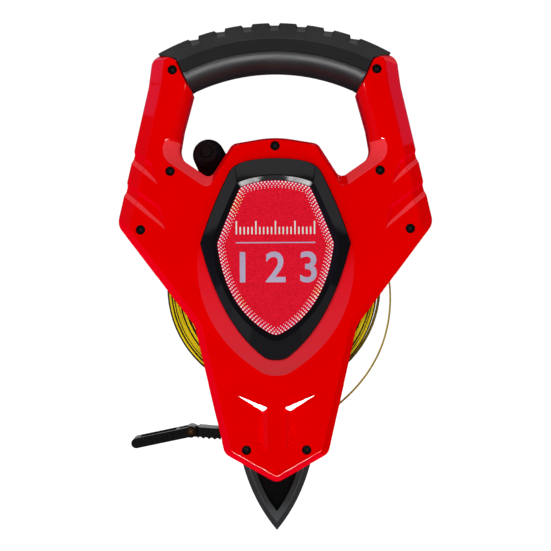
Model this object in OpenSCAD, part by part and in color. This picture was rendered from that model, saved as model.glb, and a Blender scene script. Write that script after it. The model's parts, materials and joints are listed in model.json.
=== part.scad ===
// Open reel long tape measure: a hand frame of two bolted covers that carries a wound tape on a crank reel.
// Millimetres. X is right, Y is rearward, Z is up. The origin is the tip of the ground spike.

/* [Tape] */
// Width of the tape
tape_w = 13; // [10:0.5:15]
// Thickness of the tape
tape_t = 0.45; // [0.3:0.05:0.6]
// Outer radius of the wound tape
winding_r = 63; // [60:0.5:63.2]
// Loose outer turns drawn over the plain core
loose_turns = 8; // [4:1:10]
// Radial step from one loose turn to the next
turn_pitch = 1.15; // [1.05:0.05:1.3]

/* [Reel] */
// Height of the reel axis over the spike tip
axis_z = 144; // [142:0.5:146]
// Radius of the drum that the tape starts on
drum_r = 20; // [18:0.5:26]
// Radius of the two reel flanges
flange_r = 43; // [36:0.5:46]
// Thickness of each flange
flange_t = 1.5; // [1.2:0.1:2]
// Radius of the shaft in the rear bush
shaft_r = 8; // [7:0.1:9]
// Radius of the shaft's front nose
nose_r = 5; // [4:0.1:6]
// Wall of the two plain bearing bushes
bush_wall = 3; // [2:0.1:4]
// Thickness of the thrust washers
washer_t = 0.8; // [0.5:0.1:1.2]
// Pitch radius of the screws that clamp the flanges
clamp_ring_r = 16; // [15.5:0.1:16.5]
// Shank radius of those screws
clamp_r = 1.2; // [1:0.1:1.5]

/* [Frame] */
// Wall of the covers
wall = 2.5; // [2:0.1:3]
// Empty depth between the reel's room and the front wall
front_room = 3; // [2:0.1:5]
// Depth of the cover sides from the parting plane to the bevel
side_depth = 7.5; // [6:0.1:8]
// Radius of the round room for the reel
room_r = 70; // [69:0.5:72]
// Height of the frame's lowest corner
keel_z = 28.6; // [26:0.1:30]
// Half width at the foot corners
foot_half_w = 30.4; // [28:0.1:33]
// Height of the foot corners
foot_z = 45.8; // [44:0.1:47]
// Half width at the waist
waist_half_w = 47.4; // [45:0.1:50]
// Height of the waist
waist_z = 120.5; // [117:0.1:124]
// Half width at the shoulders
shoulder_half_w = 92.4; // [90:0.1:96]
// Height of the shoulders
shoulder_z = 180; // [176:0.1:184]
// Half width outside the top of the arms
arm_half_w = 72.8; // [71:0.1:75]
// Height of the top of the arms
arm_top_z = 280.4; // [279:0.1:282]
// Half width of the notches between arms and crown
notch_half_w = 38; // [36:0.1:40]
// Height of the bottom of the notches
notch_z = 206.6; // [204:0.1:209]
// Half width of the crown over the reel
crown_half_w = 25; // [22:0.1:27]
// Height of the crown
crown_z = 231; // [229:0.1:233]
// Rise of the badge platform over the face
platform_h = 1.8; // [1:0.1:3]
// Depth of the slanted grooves on the shoulders
groove_depth = 1.2; // [0.6:0.1:1.8]
// Depth of the two scoops over the foot
scoop_depth = 1.6; // [0.8:0.1:2.2]
// Outer radius of the rear bearing dome
dome_r = 27; // [24:0.5:32]
// Rise of the rear bearing dome
dome_h = 7.5; // [5:0.1:9]

/* [Badge] */
// Half width of the badge ring at its side corners
ring_half_w = 43.7; // [42:0.1:47]
// Width of the badge ring at its sides
ring_w = 10; // [8:0.1:12]
// Rise of the badge ring over the platform
ring_h = 3; // [2:0.1:4]
// Thickness of the badge plate
plate_t = 0.8; // [0.5:0.1:1.2]

/* [Grip] */
// Radius of the grip's arc at mid height
grip_arc_r = 126.2; // [124:0.1:128]
// Height of the grip's section
grip_h = 29.6; // [26:0.1:32]
// Depth of the grip's section
grip_depth = 32; // [28:0.5:36]
// Height of the hidden core bar
core_h = 13; // [12.5:0.1:14]
// Depth of the hidden core bar
core_depth = 12; // [10:0.1:14]
// Rib notches along the top
grip_notches = 7; // [3:2:7]
// Width of one notch
notch_w = 6.6; // [4:0.1:8]
// Depth of one notch
notch_depth = 1.8; // [1:0.1:2.5]

/* [Crank] */
// Distance from the reel axis to the knob axis
crank_r = 91; // [88:0.5:93]
// Direction of the folded crank, counter-clockwise from +X
crank_angle = 117; // [110:0.5:124]
// Thickness of the crank arm
crank_t = 7; // [6:0.1:8]
// Radius of the eye at the arm's tip
crank_eye_r = 9.8; // [9:0.1:11]
// Radius of the post that carries the arm
post_r = 13; // [12:0.1:14]
// Radius of the fold pin
fold_pin_r = 2.2; // [1.8:0.1:2.5]
// Length of the knob
knob_len = 22.5; // [20:0.5:25]
// Radius of the knob at its free end
knob_tip_r = 6.6; // [6:0.1:7.5]
// Radius of the knob beside the arm
knob_base_r = 8.2; // [7.6:0.1:9]
// Radius of the knob's axle
axle_r = 2.4; // [2:0.1:2.7]
// Radius of the button on the axle's end
button_r = 3.3; // [3:0.1:3.6]

/* [Spike] */
// Half width of the spike where it leaves the frame
spike_half_w = 20.3; // [18:0.1:21.5]
// Thickness of the spike and its tang
spike_t = 8; // [6:0.1:9]
// Half width of the hidden tang
tang_half_w = 24.4; // [24:0.1:25]

/* [Hook] */
// Width of the end hook
hook_w = 15; // [14:0.1:15.6]
// Height of the end hook's bar
hook_h = 6.4; // [6:0.1:7]
// Length of the claw from the rivet to its tip
claw_len = 35.5; // [32:0.1:38]
// Width of the tongue between the claw's cheeks
tongue_w = 6.6; // [6:0.1:7.4]
// Outer radius of the tubular rivet
rivet_r = 1.5; // [1.3:0.05:1.7]
// Radius of the hole through the rivet
rivet_hole_r = 0.8; // [0.6:0.05:0.9]

/* [Screws] */
// Shank radius of the cover screws
screw_r = 1.5; // [1.2:0.1:1.8]
// Head radius of the cover screws
head_r = 2.7; // [2.4:0.1:3]
// Head height of the cover screws
head_h = 1.8; // [1.4:0.1:2.2]
// Radius of the screw bosses
boss_r = 4.2; // [3.8:0.1:4.3]

/* [Hidden] */
$fn = 64;

// Clearances
fit_gap = 0.04;
slip_gap = 0.2;
run_gap = 0.4;
seat_gap = 0.05;

// Depths from the tape's middle plane, rearward positive
drum_half = tape_w / 2 + 0.3;
flange_out = drum_half + flange_t;
room_half = flange_out + washer_t + slip_gap;
face_y = -(room_half + front_room + wall);
back_y = room_half + 1 + wall;
front_inner_y = face_y + wall;
back_inner_y = back_y - wall;
platform_y = face_y - platform_h;
dome_y = back_y + dome_h;
bevel_drop = -face_y - side_depth;
back_bevel_w = 3.4;
back_bevel_h = 4;

// The folded crank stands behind the rear cover: its knob is between the arm and the cover
button_y = back_y + 1;
knob_y = button_y + 0.6;
knob_end_y = knob_y + knob_len;
arm_y = knob_end_y + run_gap;
arm_back_y = arm_y + crank_t;
fold_y = arm_y + crank_t / 2;
post_y = dome_y + 0.3 + washer_t;
post_floor_y = fold_y - crank_t / 2 - 0.6;
post_end_y = fold_y + crank_t / 2 + 2;
slot_half = 5.1;
root_half = slot_half - 0.2;

// Arc of the handle: its centre height and its half angles
grip_centre_z = arm_top_z - 122.9;
grip_end_angle = 25.2;
lip_end_angle = 28.6;
core_end_angle = 30.6;
core_r_in = grip_arc_r + 0.2 - core_h / 2;
core_r_out = core_r_in + core_h;

// Where the cover screws stand: half width, height, how far the head sits under the face, and the boss radius
crown_boss_r = 3;
slim_boss_r = 3.2;
screw_pairs = [
  [arm_half_w - 13.7, arm_top_z - 11.2, 1.2, boss_r], [60.7, 210.6, 1, slim_boss_r],
  [shoulder_half_w - 14.4, shoulder_z - 3.2, 1, boss_r],
  [foot_half_w - 13, foot_z + 3.3, 1, slim_boss_r]
];
crown_screw = [0, crown_z - 6, 0.6, crown_boss_r];
screw_places = concat(
  [for (p = screw_pairs) for (s = [-1, 1]) [s * p[0], p[1], p[2], p[3]]],
  [crown_screw]
);
foot_screw = screw_pairs[3];
grip_screw = screw_pairs[0];

// End hook: the rivet, the fixed bar's slope and the claw's droop
rivet_x = -50;
rivet_z = 58.9;
bar_slope = 5;
claw_droop = 11.5;
bar_end = 17.6;
mouth_half = hook_w / 2 + 0.5;
mouth_low_z = 52.9;
mouth_high_z = 92;

// Route of the free tape: from the winding round the loose loop on the right, through the foot, to the hook
tape_route = [
  [22, 204.2], [34.1, 198.6], [44.9, 190.7], [54.1, 180.7], [60.8, 168.6], [65.2, 155.6], [67.2, 144],
  [67.4, 132], [65.8, 120], [62.3, 108], [56.6, 96.5], [48.9, 85.8], [39.4, 76.2], [30, 69], [20, 63.2],
  [10, 59], [0, 56.6], [-10, 55.7], [-20, 56.2], [-28, 56.9], [-34.5, 57.5]
];

// Plain geometry
function unit(v) = v / norm(v);
function left_of(a, b) = let (d = unit(b - a)) [-d[1], d[0]];
function wrap(a) = a > 180 ? a - 360 : a < -180 ? a + 360 : a;
function flat(lists) = [for (list = lists) each list];
function xz(list) = [for (p = list) [p[0], p[1]]];

// Corners are [x, z, radius, bevel of the edge that follows]; each becomes an arc of round_steps edges
round_steps = 5;
function corner_arc(a, p, b, r) =
  let (u = unit([a[0] - p[0], a[1] - p[1]]), v = unit([b[0] - p[0], b[1] - p[1]]))
  let (half = acos(max(-1, min(1, u * v))) / 2, c = [p[0], p[1]] + unit(u + v) * r / sin(half))
  let (s = [p[0], p[1]] + u * r / tan(half) - c, e = [p[0], p[1]] + v * r / tan(half) - c)
  let (a0 = atan2(s[1], s[0]), da = wrap(atan2(e[1], e[0]) - a0))
  [for (i = [0:round_steps]) c + r * [cos(a0 + da * i / round_steps), sin(a0 + da * i / round_steps)]];
function rounded(corners) =
  let (n = len(corners))
  flat([for (i = [0:n - 1])
    let (p = corners[i], a = corners[(i + n - 1) % n], b = corners[(i + 1) % n])
    p[2] > 0 ? corner_arc(a, p, b, p[2]) : [[p[0], p[1]]]]);

// Moves the edges of a counter-clockwise corner list inwards, each by its bevel times share plus extra
function corner_shift(n1, n2, d1, d2) =
  let (det = n1[0] * n2[1] - n1[1] * n2[0], m = unit(n1 + n2))
  abs(det) < 0.05
    ? m * (d1 + d2) / 2 / (m * n1)
    : [(d1 * n2[1] - d2 * n1[1]) / det, (n1[0] * d2 - n2[0] * d1) / det];
least_corner_r = 0.8;
function inset_corners(corners, share, extra) =
  let (n = len(corners), pts = xz(corners))
  [for (i = [0:n - 1])
    let (before = (i + n - 1) % n, n1 = left_of(pts[before], pts[i]), n2 = left_of(pts[i], pts[(i + 1) % n]))
    let (d1 = corners[before][3] * share + extra, d2 = corners[i][3] * share + extra)
    let (q = pts[i] + corner_shift(n1, n2, d1, d2), bulges = n1[0] * n2[1] - n1[1] * n2[0] > 0)
    let (r = corners[i][2], moved_r = r + (bulges ? -1 : 1) * (d1 + d2) / 2)
    [q[0], q[1], r > 0 ? max(least_corner_r, moved_r) : 0, corners[i][3]]];

// Moves every point of a counter-clockwise outline inwards, by its own distance
function inset(pts, d) =
  let (n = len(pts))
  [for (i = [0:n - 1])
    let (n1 = left_of(pts[(i + n - 1) % n], pts[i]), n2 = left_of(pts[i], pts[(i + 1) % n]))
    let (m = unit(n1 + n2), far = is_list(d) ? d[i] : d)
    pts[i] + m * far / (m * n1)];
function both_sides(right) =
  concat(right, [for (i = [len(right) - 1:-1:0]) if (right[i][0] > 0.001)
    [-right[i][0], right[i][1], right[i][2], right[max(i - 1, 0)][3]]]);

function bezier(a, c, b, n) =
  [for (i = [0:n]) let (t = i / n) (1 - t) * (1 - t) * a + 2 * t * (1 - t) * c + t * t * b];
function mirrored(right) =
  concat(right, [for (i = [len(right) - 1:-1:0]) if (right[i][0] > 0.001) [-right[i][0], right[i][1]]]);

// Cuts a counter-clockwise outline into triangles, one ear after the other; ring holds the indices still left
function turn(a, b, c) = (b[0] - a[0]) * (c[1] - a[1]) - (b[1] - a[1]) * (c[0] - a[0]);
function holds(a, b, c, p) = turn(a, b, p) >= 0 && turn(b, c, p) >= 0 && turn(c, a, p) >= 0;
function clear_ear(pts, ring, a, b, c) =
  turn(pts[a], pts[b], pts[c]) > 0.0001
  && len([for (i = ring) if (i != a && i != b && i != c && holds(pts[a], pts[b], pts[c], pts[i])) 1]) == 0;
function find_ear(pts, ring, k) =
  let (n = len(ring), a = ring[(k + n - 1) % n], b = ring[k % n], c = ring[(k + 1) % n])
  k >= n || clear_ear(pts, ring, a, b, c) ? k % n : find_ear(pts, ring, k + 1);
function ears(pts, ring, start) =
  let (n = len(ring))
  n == 3 ? [ring] :
  let (k = find_ear(pts, ring, start % n), a = ring[(k + n - 1) % n], b = ring[k], c = ring[(k + 1) % n])
  concat([[a, b, c]], ears(pts, [for (i = ring) if (i != b) i], k + 1));

// A solid through outlines of equal length, given from the rear to the front as [points, y]
module loft(levels) {
  n = len(levels[0][0]);
  last = len(levels) - 1;
  points = [for (level = levels) for (p = level[0]) [p[0], level[1], p[1]]];
  order = [for (i = [0:n - 1]) i];
  rear = ears(levels[0][0], order, 0);
  front = [for (t = ears(levels[last][0], order, 0)) [last * n + t[2], last * n + t[1], last * n + t[0]]];
  sides = [for (k = [0:last - 1]) for (i = [0:n - 1])
    let (a = k * n + i, b = k * n + (i + 1) % n)
    each [[a, a + n, b + n], [a, b + n, b]]];
  polyhedron(points, concat(rear, sides, front));
}

// A plate whose outline is drawn in X and Z, between two depths
module slab(y0, y1) {
  translate([0, y1, 0]) rotate([90, 0, 0]) linear_extrude(y1 - y0) children();
}

module rod(x, z, r, y0, y1) {
  translate([x, y1, z]) rotate([90, 0, 0]) cylinder(r = r, h = y1 - y0);
}

module ring(x, z, r, hole, y0, y1) {
  difference() {
    rod(x, z, r, y0, y1);
    rod(x, z, hole, y0 - 1, y1 + 1);
  }
}

// A profile of radius and depth turned about the handle's centre, over an angle on each side of the top
module handle_sweep(half_angle) {
  translate([0, 0, grip_centre_z]) rotate([90, 0, 0]) rotate([0, 0, 90 - half_angle])
    rotate_extrude(angle = 2 * half_angle) children();
}

// The frame's outline, right side, from the keel up, counter-clockwise. Two slanted grooves cross the
// shoulder's bevel: each is a pair of short steps in the outline, which the bevel carries on inwards
arm_bevel = 8;
notch_bevel = 6.5;
body_bevel = 4.5;
crown_bevel = 2.2;
end_bevel = 1.5;
arm_bend_z = arm_top_z - 20;
arm_in_half_w = arm_half_w - 24.2;
shoulder_run = unit([arm_half_w + 1 - shoulder_half_w, arm_bend_z - shoulder_z]);
function on_shoulder(z) = [shoulder_half_w, shoulder_z] + shoulder_run * (z - shoulder_z) / shoulder_run[1];
groove_heights = [[shoulder_z + 16.9, shoulder_z + 24.8], [shoulder_z + 35.9, shoulder_z + 43.3]];
groove_low_way = unit([-24.7, -20]);
groove_high_way = unit([-19.8, -14.4]);
groove_step = groove_depth * 0.75;
groove_start = 4;
groove_low_len = 31;
groove_high_len = 22;
function groove_corners(heights) = [
  let (p = on_shoulder(heights[0])) [p[0], p[1], 0, 0],
  let (p = on_shoulder(heights[0]) + groove_low_way * groove_step) [p[0], p[1], 0, arm_bevel],
  let (p = on_shoulder(heights[1]) + groove_high_way * groove_step) [p[0], p[1], 0, 0],
  let (p = on_shoulder(heights[1])) [p[0], p[1], 0, arm_bevel]
];
frame_right = [
  [0, keel_z, 0, body_bevel],
  [foot_half_w, foot_z, 7, body_bevel],
  [waist_half_w, waist_z, 12, body_bevel],
  [shoulder_half_w, shoulder_z, 9, arm_bevel],
  each groove_corners(groove_heights[0]),
  each groove_corners(groove_heights[1]),
  [arm_half_w + 1, arm_bend_z, 30, arm_bevel],
  [arm_half_w - 0.6, arm_top_z, 6.5, end_bevel],
  [arm_in_half_w + 9, arm_top_z - 0.8, 7, end_bevel],
  [arm_in_half_w - 0.6, arm_bend_z - 3.4, 0, arm_bevel],
  [arm_in_half_w + 5, arm_bend_z - 25, 0, arm_bevel],
  [arm_in_half_w + 7.8, arm_bend_z - 41, 9, notch_bevel],
  [notch_half_w, notch_z, 4, crown_bevel],
  [crown_half_w, crown_z - 3.4, 6, crown_bevel],
  [0, crown_z, 0, crown_bevel]
];
frame_corners = both_sides(frame_right);
function frame_line(share, extra) = rounded(inset_corners(frame_corners, share, extra));

// The badge: a shield of straight shoulders and round flanks, with the corner heights of its three outlines
badge_top_z = 217.8;
badge_corner_z = 213;
badge_side_z = 168.6;
badge_flank_z = 122.1;
badge_low_z = 101;
badge_top_half_w = ring_half_w - 18.3;
badge_flank_half_w = ring_half_w - 11.8;
badge_low_half_w = 7.6;
plate_half_w = ring_half_w - ring_w;
plate_top_z = badge_top_z - 13;
plate_corner_z = badge_corner_z - 12.6;
plate_flank_z = badge_flank_z + 10.6;
plate_low_z = badge_low_z + 14.8;
plate_top_half_w = plate_half_w - 13.7;
plate_flank_half_w = plate_half_w - 4.6;
plate_low_half_w = 5.4;
crescent_edge = 0.7;
crescent_flank_z = badge_flank_z - 4.9;
crescent_low_z = badge_low_z - 9;
crescent_flank_half_w = ring_half_w + 1.2;
crescent_low_half_w = 9;
low_rise = 2;
flank_steps = 8;
function shield(half_top, corner_z, top_z, half_side, flank, low_half, low_z) =
  mirrored(concat(
    [[0, low_z]],
    bezier([low_half, low_z + low_rise], flank, [half_side, badge_side_z], flank_steps),
    [[half_top, corner_z], [0, top_z]]));
ring_line = shield(
  badge_top_half_w, badge_corner_z, badge_top_z, ring_half_w, [badge_flank_half_w, badge_flank_z],
  badge_low_half_w, badge_low_z);
plate_line = shield(
  plate_top_half_w, plate_corner_z, plate_top_z, plate_half_w, [plate_flank_half_w, plate_flank_z],
  plate_low_half_w, plate_low_z);
crescent_line = shield(
  badge_top_half_w + crescent_edge, badge_corner_z + crescent_edge, badge_top_z + crescent_edge,
  ring_half_w + crescent_edge, [crescent_flank_half_w, crescent_flank_z], crescent_low_half_w,
  crescent_low_z);

// Each cover is a bevelled cup: its outside and its hollow in one skin
module front_cup() {
  cavity_share = (bevel_drop - wall) / bevel_drop;
  loft([
    [frame_line(cavity_share, wall), front_inner_y], [frame_line(0, wall), -side_depth],
    [frame_line(0, wall), 0], [frame_line(0, 0), 0], [frame_line(0, 0), -side_depth],
    [frame_line(1, 0), face_y]
  ]);
}

module rear_cup() {
  rim_y = back_y - back_bevel_h;
  loft([
    [frame_line(0, back_bevel_w), back_y], [frame_line(0, 0), rim_y], [frame_line(0, 0), 0],
    [frame_line(0, wall), 0], [frame_line(0, wall), rim_y - 1],
    [frame_line(0, back_bevel_w + wall), back_inner_y]
  ]);
}

// The flat part of the shoulder grooves, from the bevel's crease inwards
module shoulder_grooves() {
  for (s = [0, 1]) mirror([s, 0, 0]) for (h = groove_heights) {
    low = on_shoulder(h[0]);
    high = on_shoulder(h[1]);
    slab(face_y - 1, face_y + groove_depth * 0.7) polygon([
      low + groove_low_way * groove_start, high + groove_high_way * groove_start,
      high + groove_high_way * groove_high_len, low + groove_low_way * groove_low_len
    ]);
  }
}

// Two scoops over the foot: deepest beside the middle rib, running out towards the sides
rib_half_w = 6;
scoop_line = [
  [-rib_half_w, foot_z + 3.2], [-rib_half_w, foot_z + 27.7], [-foot_half_w + 7.2, foot_z + 34.9],
  [-foot_half_w + 12.2, foot_z + 8.4]
];
module scoop() {
  floors = [face_y + scoop_depth, face_y + scoop_depth, face_y - 0.02, face_y - 0.02];
  front = [for (p = scoop_line) [p[0], face_y - 2, p[1]]];
  deep = [for (i = [0:3]) [scoop_line[i][0], floors[i], scoop_line[i][1]]];
  polyhedron(concat(deep, front), [
    [1, 2, 3], [0, 1, 3], [6, 5, 4], [7, 6, 4], [5, 1, 0], [4, 5, 0],
    [6, 2, 1], [5, 6, 1], [7, 3, 2], [6, 7, 2], [4, 0, 3], [7, 4, 3]
  ]);
}

// What both covers leave free: the reel, the tape's way through the foot, the spike and the core bar
module shared_rooms(y0, y1) {
  rod(0, axis_z, room_r, max(y0, -room_half), min(y1, room_half));
  slab(max(y0, -mouth_half), min(y1, mouth_half))
    polygon([[-70, mouth_low_z], [70, mouth_low_z], [70, mouth_high_z], [-70, mouth_high_z]]);
  half = spike_t / 2 + seat_gap;
  slab(max(y0, -half), min(y1, half)) polygon(inset(spike_line(), -slip_gap));
  bar_half = core_depth / 2 + slip_gap;
  handle_sweep(core_end_angle + 0.4) polygon([
    [core_r_in - slip_gap, max(-y1, -bar_half)], [core_r_out + slip_gap, max(-y1, -bar_half)],
    [core_r_out + slip_gap, min(-y0, bar_half)], [core_r_in - slip_gap, min(-y0, bar_half)]
  ]);
}

module screw_bosses(y0, y1) {
  for (p = screw_places) rod(p[0], p[1], p[3], y0, y1);
}

// Collars round the foot bosses that clamp the spike's tang
module tang_collars(y0, y1) {
  for (s = [-1, 1]) rod(s * foot_screw[0], foot_screw[1], slim_boss_r + 2, y0, y1);
}

module front_cover() {
  color("#d90808") difference() {
    union() {
      difference() {
        front_cup();
        shoulder_grooves();
        for (s = [0, 1]) mirror([s, 0, 0]) scoop();
      }
      screw_bosses(front_inner_y - 0.1, 0);
      tang_collars(-room_half, -spike_t / 2 - seat_gap);
      loft([[crescent_line, face_y + 0.5], [ring_line, platform_y]]);
      rod(0, axis_z, nose_r + bush_wall + 3, front_inner_y - 0.1, 0.5 - room_half);
    }
    shared_rooms(-100, 1);
    for (p = screw_places) {
      rod(p[0], p[1], screw_r + slip_gap, face_y - 1, 1);
      rod(p[0], p[1], head_r + slip_gap, face_y - 4, face_y + p[2] + head_h);
    }
    rod(0, axis_z, nose_r + bush_wall, front_inner_y - 2, 0);
  }
}

// The rear bearing: a turned dome with the bush's bore, and a hub inside the cover
module bearing_dome() {
  bore = shaft_r + bush_wall;
  profile = [
    [bore, room_half], [bore + 3, room_half], [bore + 3, back_inner_y + 0.1], [dome_r, back_inner_y + 0.1],
    [dome_r, back_y + 1], [dome_r - 6, dome_y], [bore, dome_y]
  ];
  translate([0, 0, axis_z]) rotate([-90, 0, 0]) rotate_extrude() polygon(profile);
}

module rear_cover() {
  pilot_end = back_y - 1.4;
  color("#c90606") difference() {
    union() {
      difference() {
        rear_cup();
        rod(0, axis_z, dome_r - 2, back_inner_y - 1, back_y + 1);
      }
      bearing_dome();
      screw_bosses(0, back_inner_y + 0.1);
      tang_collars(spike_t / 2 + seat_gap, room_half);
    }
    shared_rooms(-1, 100);
    for (p = screw_places) rod(p[0], p[1], screw_r + fit_gap, -1, pilot_end);
  }
}

// Nine pan-head screws with crossed recesses
module cover_screws() {
  slot_w = 0.8;
  slot_l = head_r * 1.1;
  color("#1c1c1c") for (p = screw_places) {
    seat = face_y + p[2];
    difference() {
      union() {
        rod(p[0], p[1], head_r, seat, seat + head_h);
        rod(p[0], p[1], screw_r, seat + head_h - 0.5, back_y - 2);
      }
      for (a = [45, 135]) translate([p[0], seat, p[1]]) rotate([0, a, 0])
        cube([slot_l * 2, 2, slot_w], center = true);
    }
  }
}

// Black ring with a sloped outer face, a ridge and a bevel down to the plate
module badge_ring() {
  ridge_y = platform_y - ring_h;
  plate_y = platform_y - plate_t;
  color("#161616") difference() {
    loft([
      [inset(ring_line, 0.2), platform_y], [inset(ring_line, 0.2), platform_y - ring_h * 0.5],
      [inset(ring_line, 1.6), ridge_y]
    ]);
    loft([
      [inset(plate_line, -seat_gap), platform_y + 1], [inset(plate_line, -seat_gap), plate_y],
      [inset(plate_line, -2.6), ridge_y - 0.2]
    ]);
  }
}

module badge_plate() {
  color("#c8102e") slab(platform_y - plate_t, platform_y) polygon(plate_line);
}

// The sleeve's section: a round underside, full sides and a flatter top
palm_r = 9;
side_r = 8;
upper_side_r = 6;
top_edge_r = 3.5;
function sleeve_half(side) =
  let (r = grip_arc_r, h = grip_h / 2, d = side * grip_depth / 2)
  [[r - h, d * 0.75, palm_r, 0], [r - h * 0.35, d, side_r, 0], [r + h * 0.3, d, upper_side_r, 0],
    [r + h, d * 0.66, top_edge_r, 0]];
function sleeve_section() =
  let (left = sleeve_half(-1))
  rounded(concat(sleeve_half(1), [for (i = [3:-1:0]) left[i]]));

function core_section(gap) = [
  [core_r_in - gap, -core_depth / 2 - gap], [core_r_out + gap, -core_depth / 2 - gap],
  [core_r_out + gap, core_depth / 2 + gap], [core_r_in - gap, core_depth / 2 + gap]
];

// Plain bar that runs through the grip; its two ends are pinned by bosses in the arms
module grip_core() {
  color("#2a2a2a") difference() {
    handle_sweep(core_end_angle) polygon(core_section(0));
    for (s = [-1, 1]) rod(s * grip_screw[0], grip_screw[1], boss_r + slip_gap, -50, 50);
  }
}

module grip_sleeve() {
  top_r = grip_arc_r + grip_h / 2;
  pitch = 6.6;
  lip_half = grip_depth * 0.33 - 2;
  lip_r = top_r - 0.15;
  lip_t = 2.2;
  color("#202224") difference() {
    union() {
      handle_sweep(grip_end_angle) polygon(sleeve_section());
      handle_sweep(lip_end_angle)
        translate([lip_r - lip_t, -lip_half]) square([lip_t, 2 * lip_half]);
    }
    handle_sweep(core_end_angle + 1) polygon(core_section(seat_gap));
    for (s = [0, 1]) mirror([s, 0, 0]) slab(-lip_half - 1, lip_half + 1) polygon([
      [arm_in_half_w + 9.4, arm_top_z - 6], [arm_half_w + 5, arm_top_z - 6],
      [arm_half_w + 5, arm_top_z + 0.2], [arm_half_w - 0.6, arm_top_z + 0.2],
      [arm_in_half_w + 9.4, arm_top_z - 0.6]
    ]);
    for (k = [0:grip_notches - 1]) translate([0, 0, grip_centre_z])
      rotate([0, (k - (grip_notches - 1) / 2) * pitch, 0]) translate([0, 0, top_r])
        cube([notch_w, grip_depth + 2, notch_depth * 2], center = true);
  }
}

// Spike: two curved edges that meet in the tip, and a tang with two holes inside the foot
function spike_line() =
  mirrored(concat(
    bezier([0, 0], [spike_half_w * 0.7, 16.8], [spike_half_w, 40.5], 10),
    [[tang_half_w, 48.5], [tang_half_w, mouth_low_z - 0.5], [0, mouth_low_z - 0.5]]));
module ground_spike() {
  edge_half = 1.2;
  edge_w = 3.4;
  pocket = [[0, 12], [9.6, 33], [9.6, 36], [-9.6, 36], [-9.6, 33]];
  line = spike_line();
  blade_inset = [for (p = line) p[1] < 40 ? edge_w : 0.01];
  half = spike_t / 2;
  color("#262829") difference() {
    loft([
      [inset(line, blade_inset), half], [line, edge_half], [line, -edge_half],
      [inset(line, blade_inset), -half]
    ]);
    for (s = [-1, 1]) {
      slab(s > 0 ? half - 2.2 : -half - 1, s > 0 ? half + 1 : -half + 2.2) polygon(pocket);
      rod(s * foot_screw[0], foot_screw[1], slim_boss_r + slip_gap, -half - 1, half + 1);
    }
  }
}

module front_bush() {
  color("#e8e4d8") ring(0, axis_z, nose_r + bush_wall, nose_r + fit_gap, front_inner_y - 2, -room_half);
}

module rear_bush() {
  color("#e8e4d8") ring(0, axis_z, shaft_r + bush_wall, shaft_r + fit_gap, room_half, dome_y);
}

// Front, rear and outer washers that take the reel's side play
module thrust_washers() {
  inner_y = room_half - seat_gap;
  outer_y = dome_y + seat_gap;
  color("#b8b8b8") {
    ring(0, axis_z, nose_r + bush_wall, nose_r + slip_gap, -inner_y, -inner_y + washer_t);
    ring(0, axis_z, shaft_r + bush_wall, shaft_r + slip_gap, inner_y - washer_t, inner_y);
    ring(0, axis_z, shaft_r + bush_wall, shaft_r + slip_gap, outer_y, outer_y + washer_t);
  }
}

// Two flats lock the drum and the flanges to the shaft
flat_half = shaft_r * 0.8;
module keyed(gap, y0, y1) {
  intersection() {
    rod(0, axis_z, shaft_r + gap, y0, y1);
    translate([-flat_half - gap, y0, axis_z - 50]) cube([2 * (flat_half + gap), y1 - y0, 100]);
  }
}

spigot_r = shaft_r * 0.7;
spigot_len = 5;
bolt_r = 2.5;
module spigot(gap, y0, y1) {
  intersection() {
    rod(0, axis_z, spigot_r + gap, y0, y1);
    translate([-spigot_r * 0.75 - gap, y0, axis_z - 50]) cube([2 * (spigot_r * 0.75 + gap), y1 - y0, 100]);
  }
}

module reel_shaft() {
  color("#9a9da0") difference() {
    union() {
      rod(0, axis_z, nose_r, front_inner_y - 1.5, -flange_out + 0.5);
      keyed(0, -flange_out, flange_out);
      rod(0, axis_z, shaft_r, flange_out, post_y - seat_gap);
      spigot(0, post_y - 1, post_y + spigot_len);
    }
    rod(0, axis_z, bolt_r + fit_gap, 0, post_y + spigot_len + 1);
  }
}

clamp_places = [for (a = [90, 210, 330]) [clamp_ring_r * cos(a), axis_z + clamp_ring_r * sin(a)]];
module clamp_holes(y0, y1) {
  for (p = clamp_places) rod(p[0], p[1], clamp_r + fit_gap, y0, y1);
}

anchor_r = 1.5;
anchor_len = 4;
module reel_drum() {
  color("#2b2b2b") difference() {
    rod(0, axis_z, drum_r, -drum_half, drum_half);
    keyed(fit_gap, -drum_half - 1, drum_half + 1);
    clamp_holes(-drum_half - 1, drum_half + 1);
    translate([0, 0, axis_z - drum_r - 1]) cylinder(r = anchor_r + fit_gap, h = anchor_len + 1);
  }
}

// A short screw through the drum's rim that pins the tape's inner end
module tape_anchor() {
  color("#8d9093") translate([0, 0, axis_z - drum_r + 0.1]) cylinder(r = anchor_r, h = anchor_len - 0.2);
}

module flange(y0, y1) {
  windows = 6;
  window_r = (flange_r - drum_r) * 0.28;
  middle_r = (flange_r + drum_r) / 2;
  color("#303234") difference() {
    rod(0, axis_z, flange_r, y0, y1);
    keyed(fit_gap, y0 - 1, y1 + 1);
    clamp_holes(y0 - 1, y1 + 1);
    for (k = [0:windows - 1])
      rod(middle_r * cos(60 * k), axis_z + middle_r * sin(60 * k), window_r, y0 - 1, y1 + 1);
  }
}

module front_flange() {
  flange(-flange_out, -drum_half);
}

module rear_flange() {
  flange(drum_half, flange_out);
}

module flange_screws() {
  clamp_head_r = clamp_r + 1;
  clamp_head_h = 0.7;
  color("#8d9093") for (p = clamp_places) {
    rod(p[0], p[1], clamp_r, -flange_out - 0.2, flange_out);
    rod(p[0], p[1], clamp_head_r, -flange_out - clamp_head_h, -flange_out);
  }
}

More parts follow.
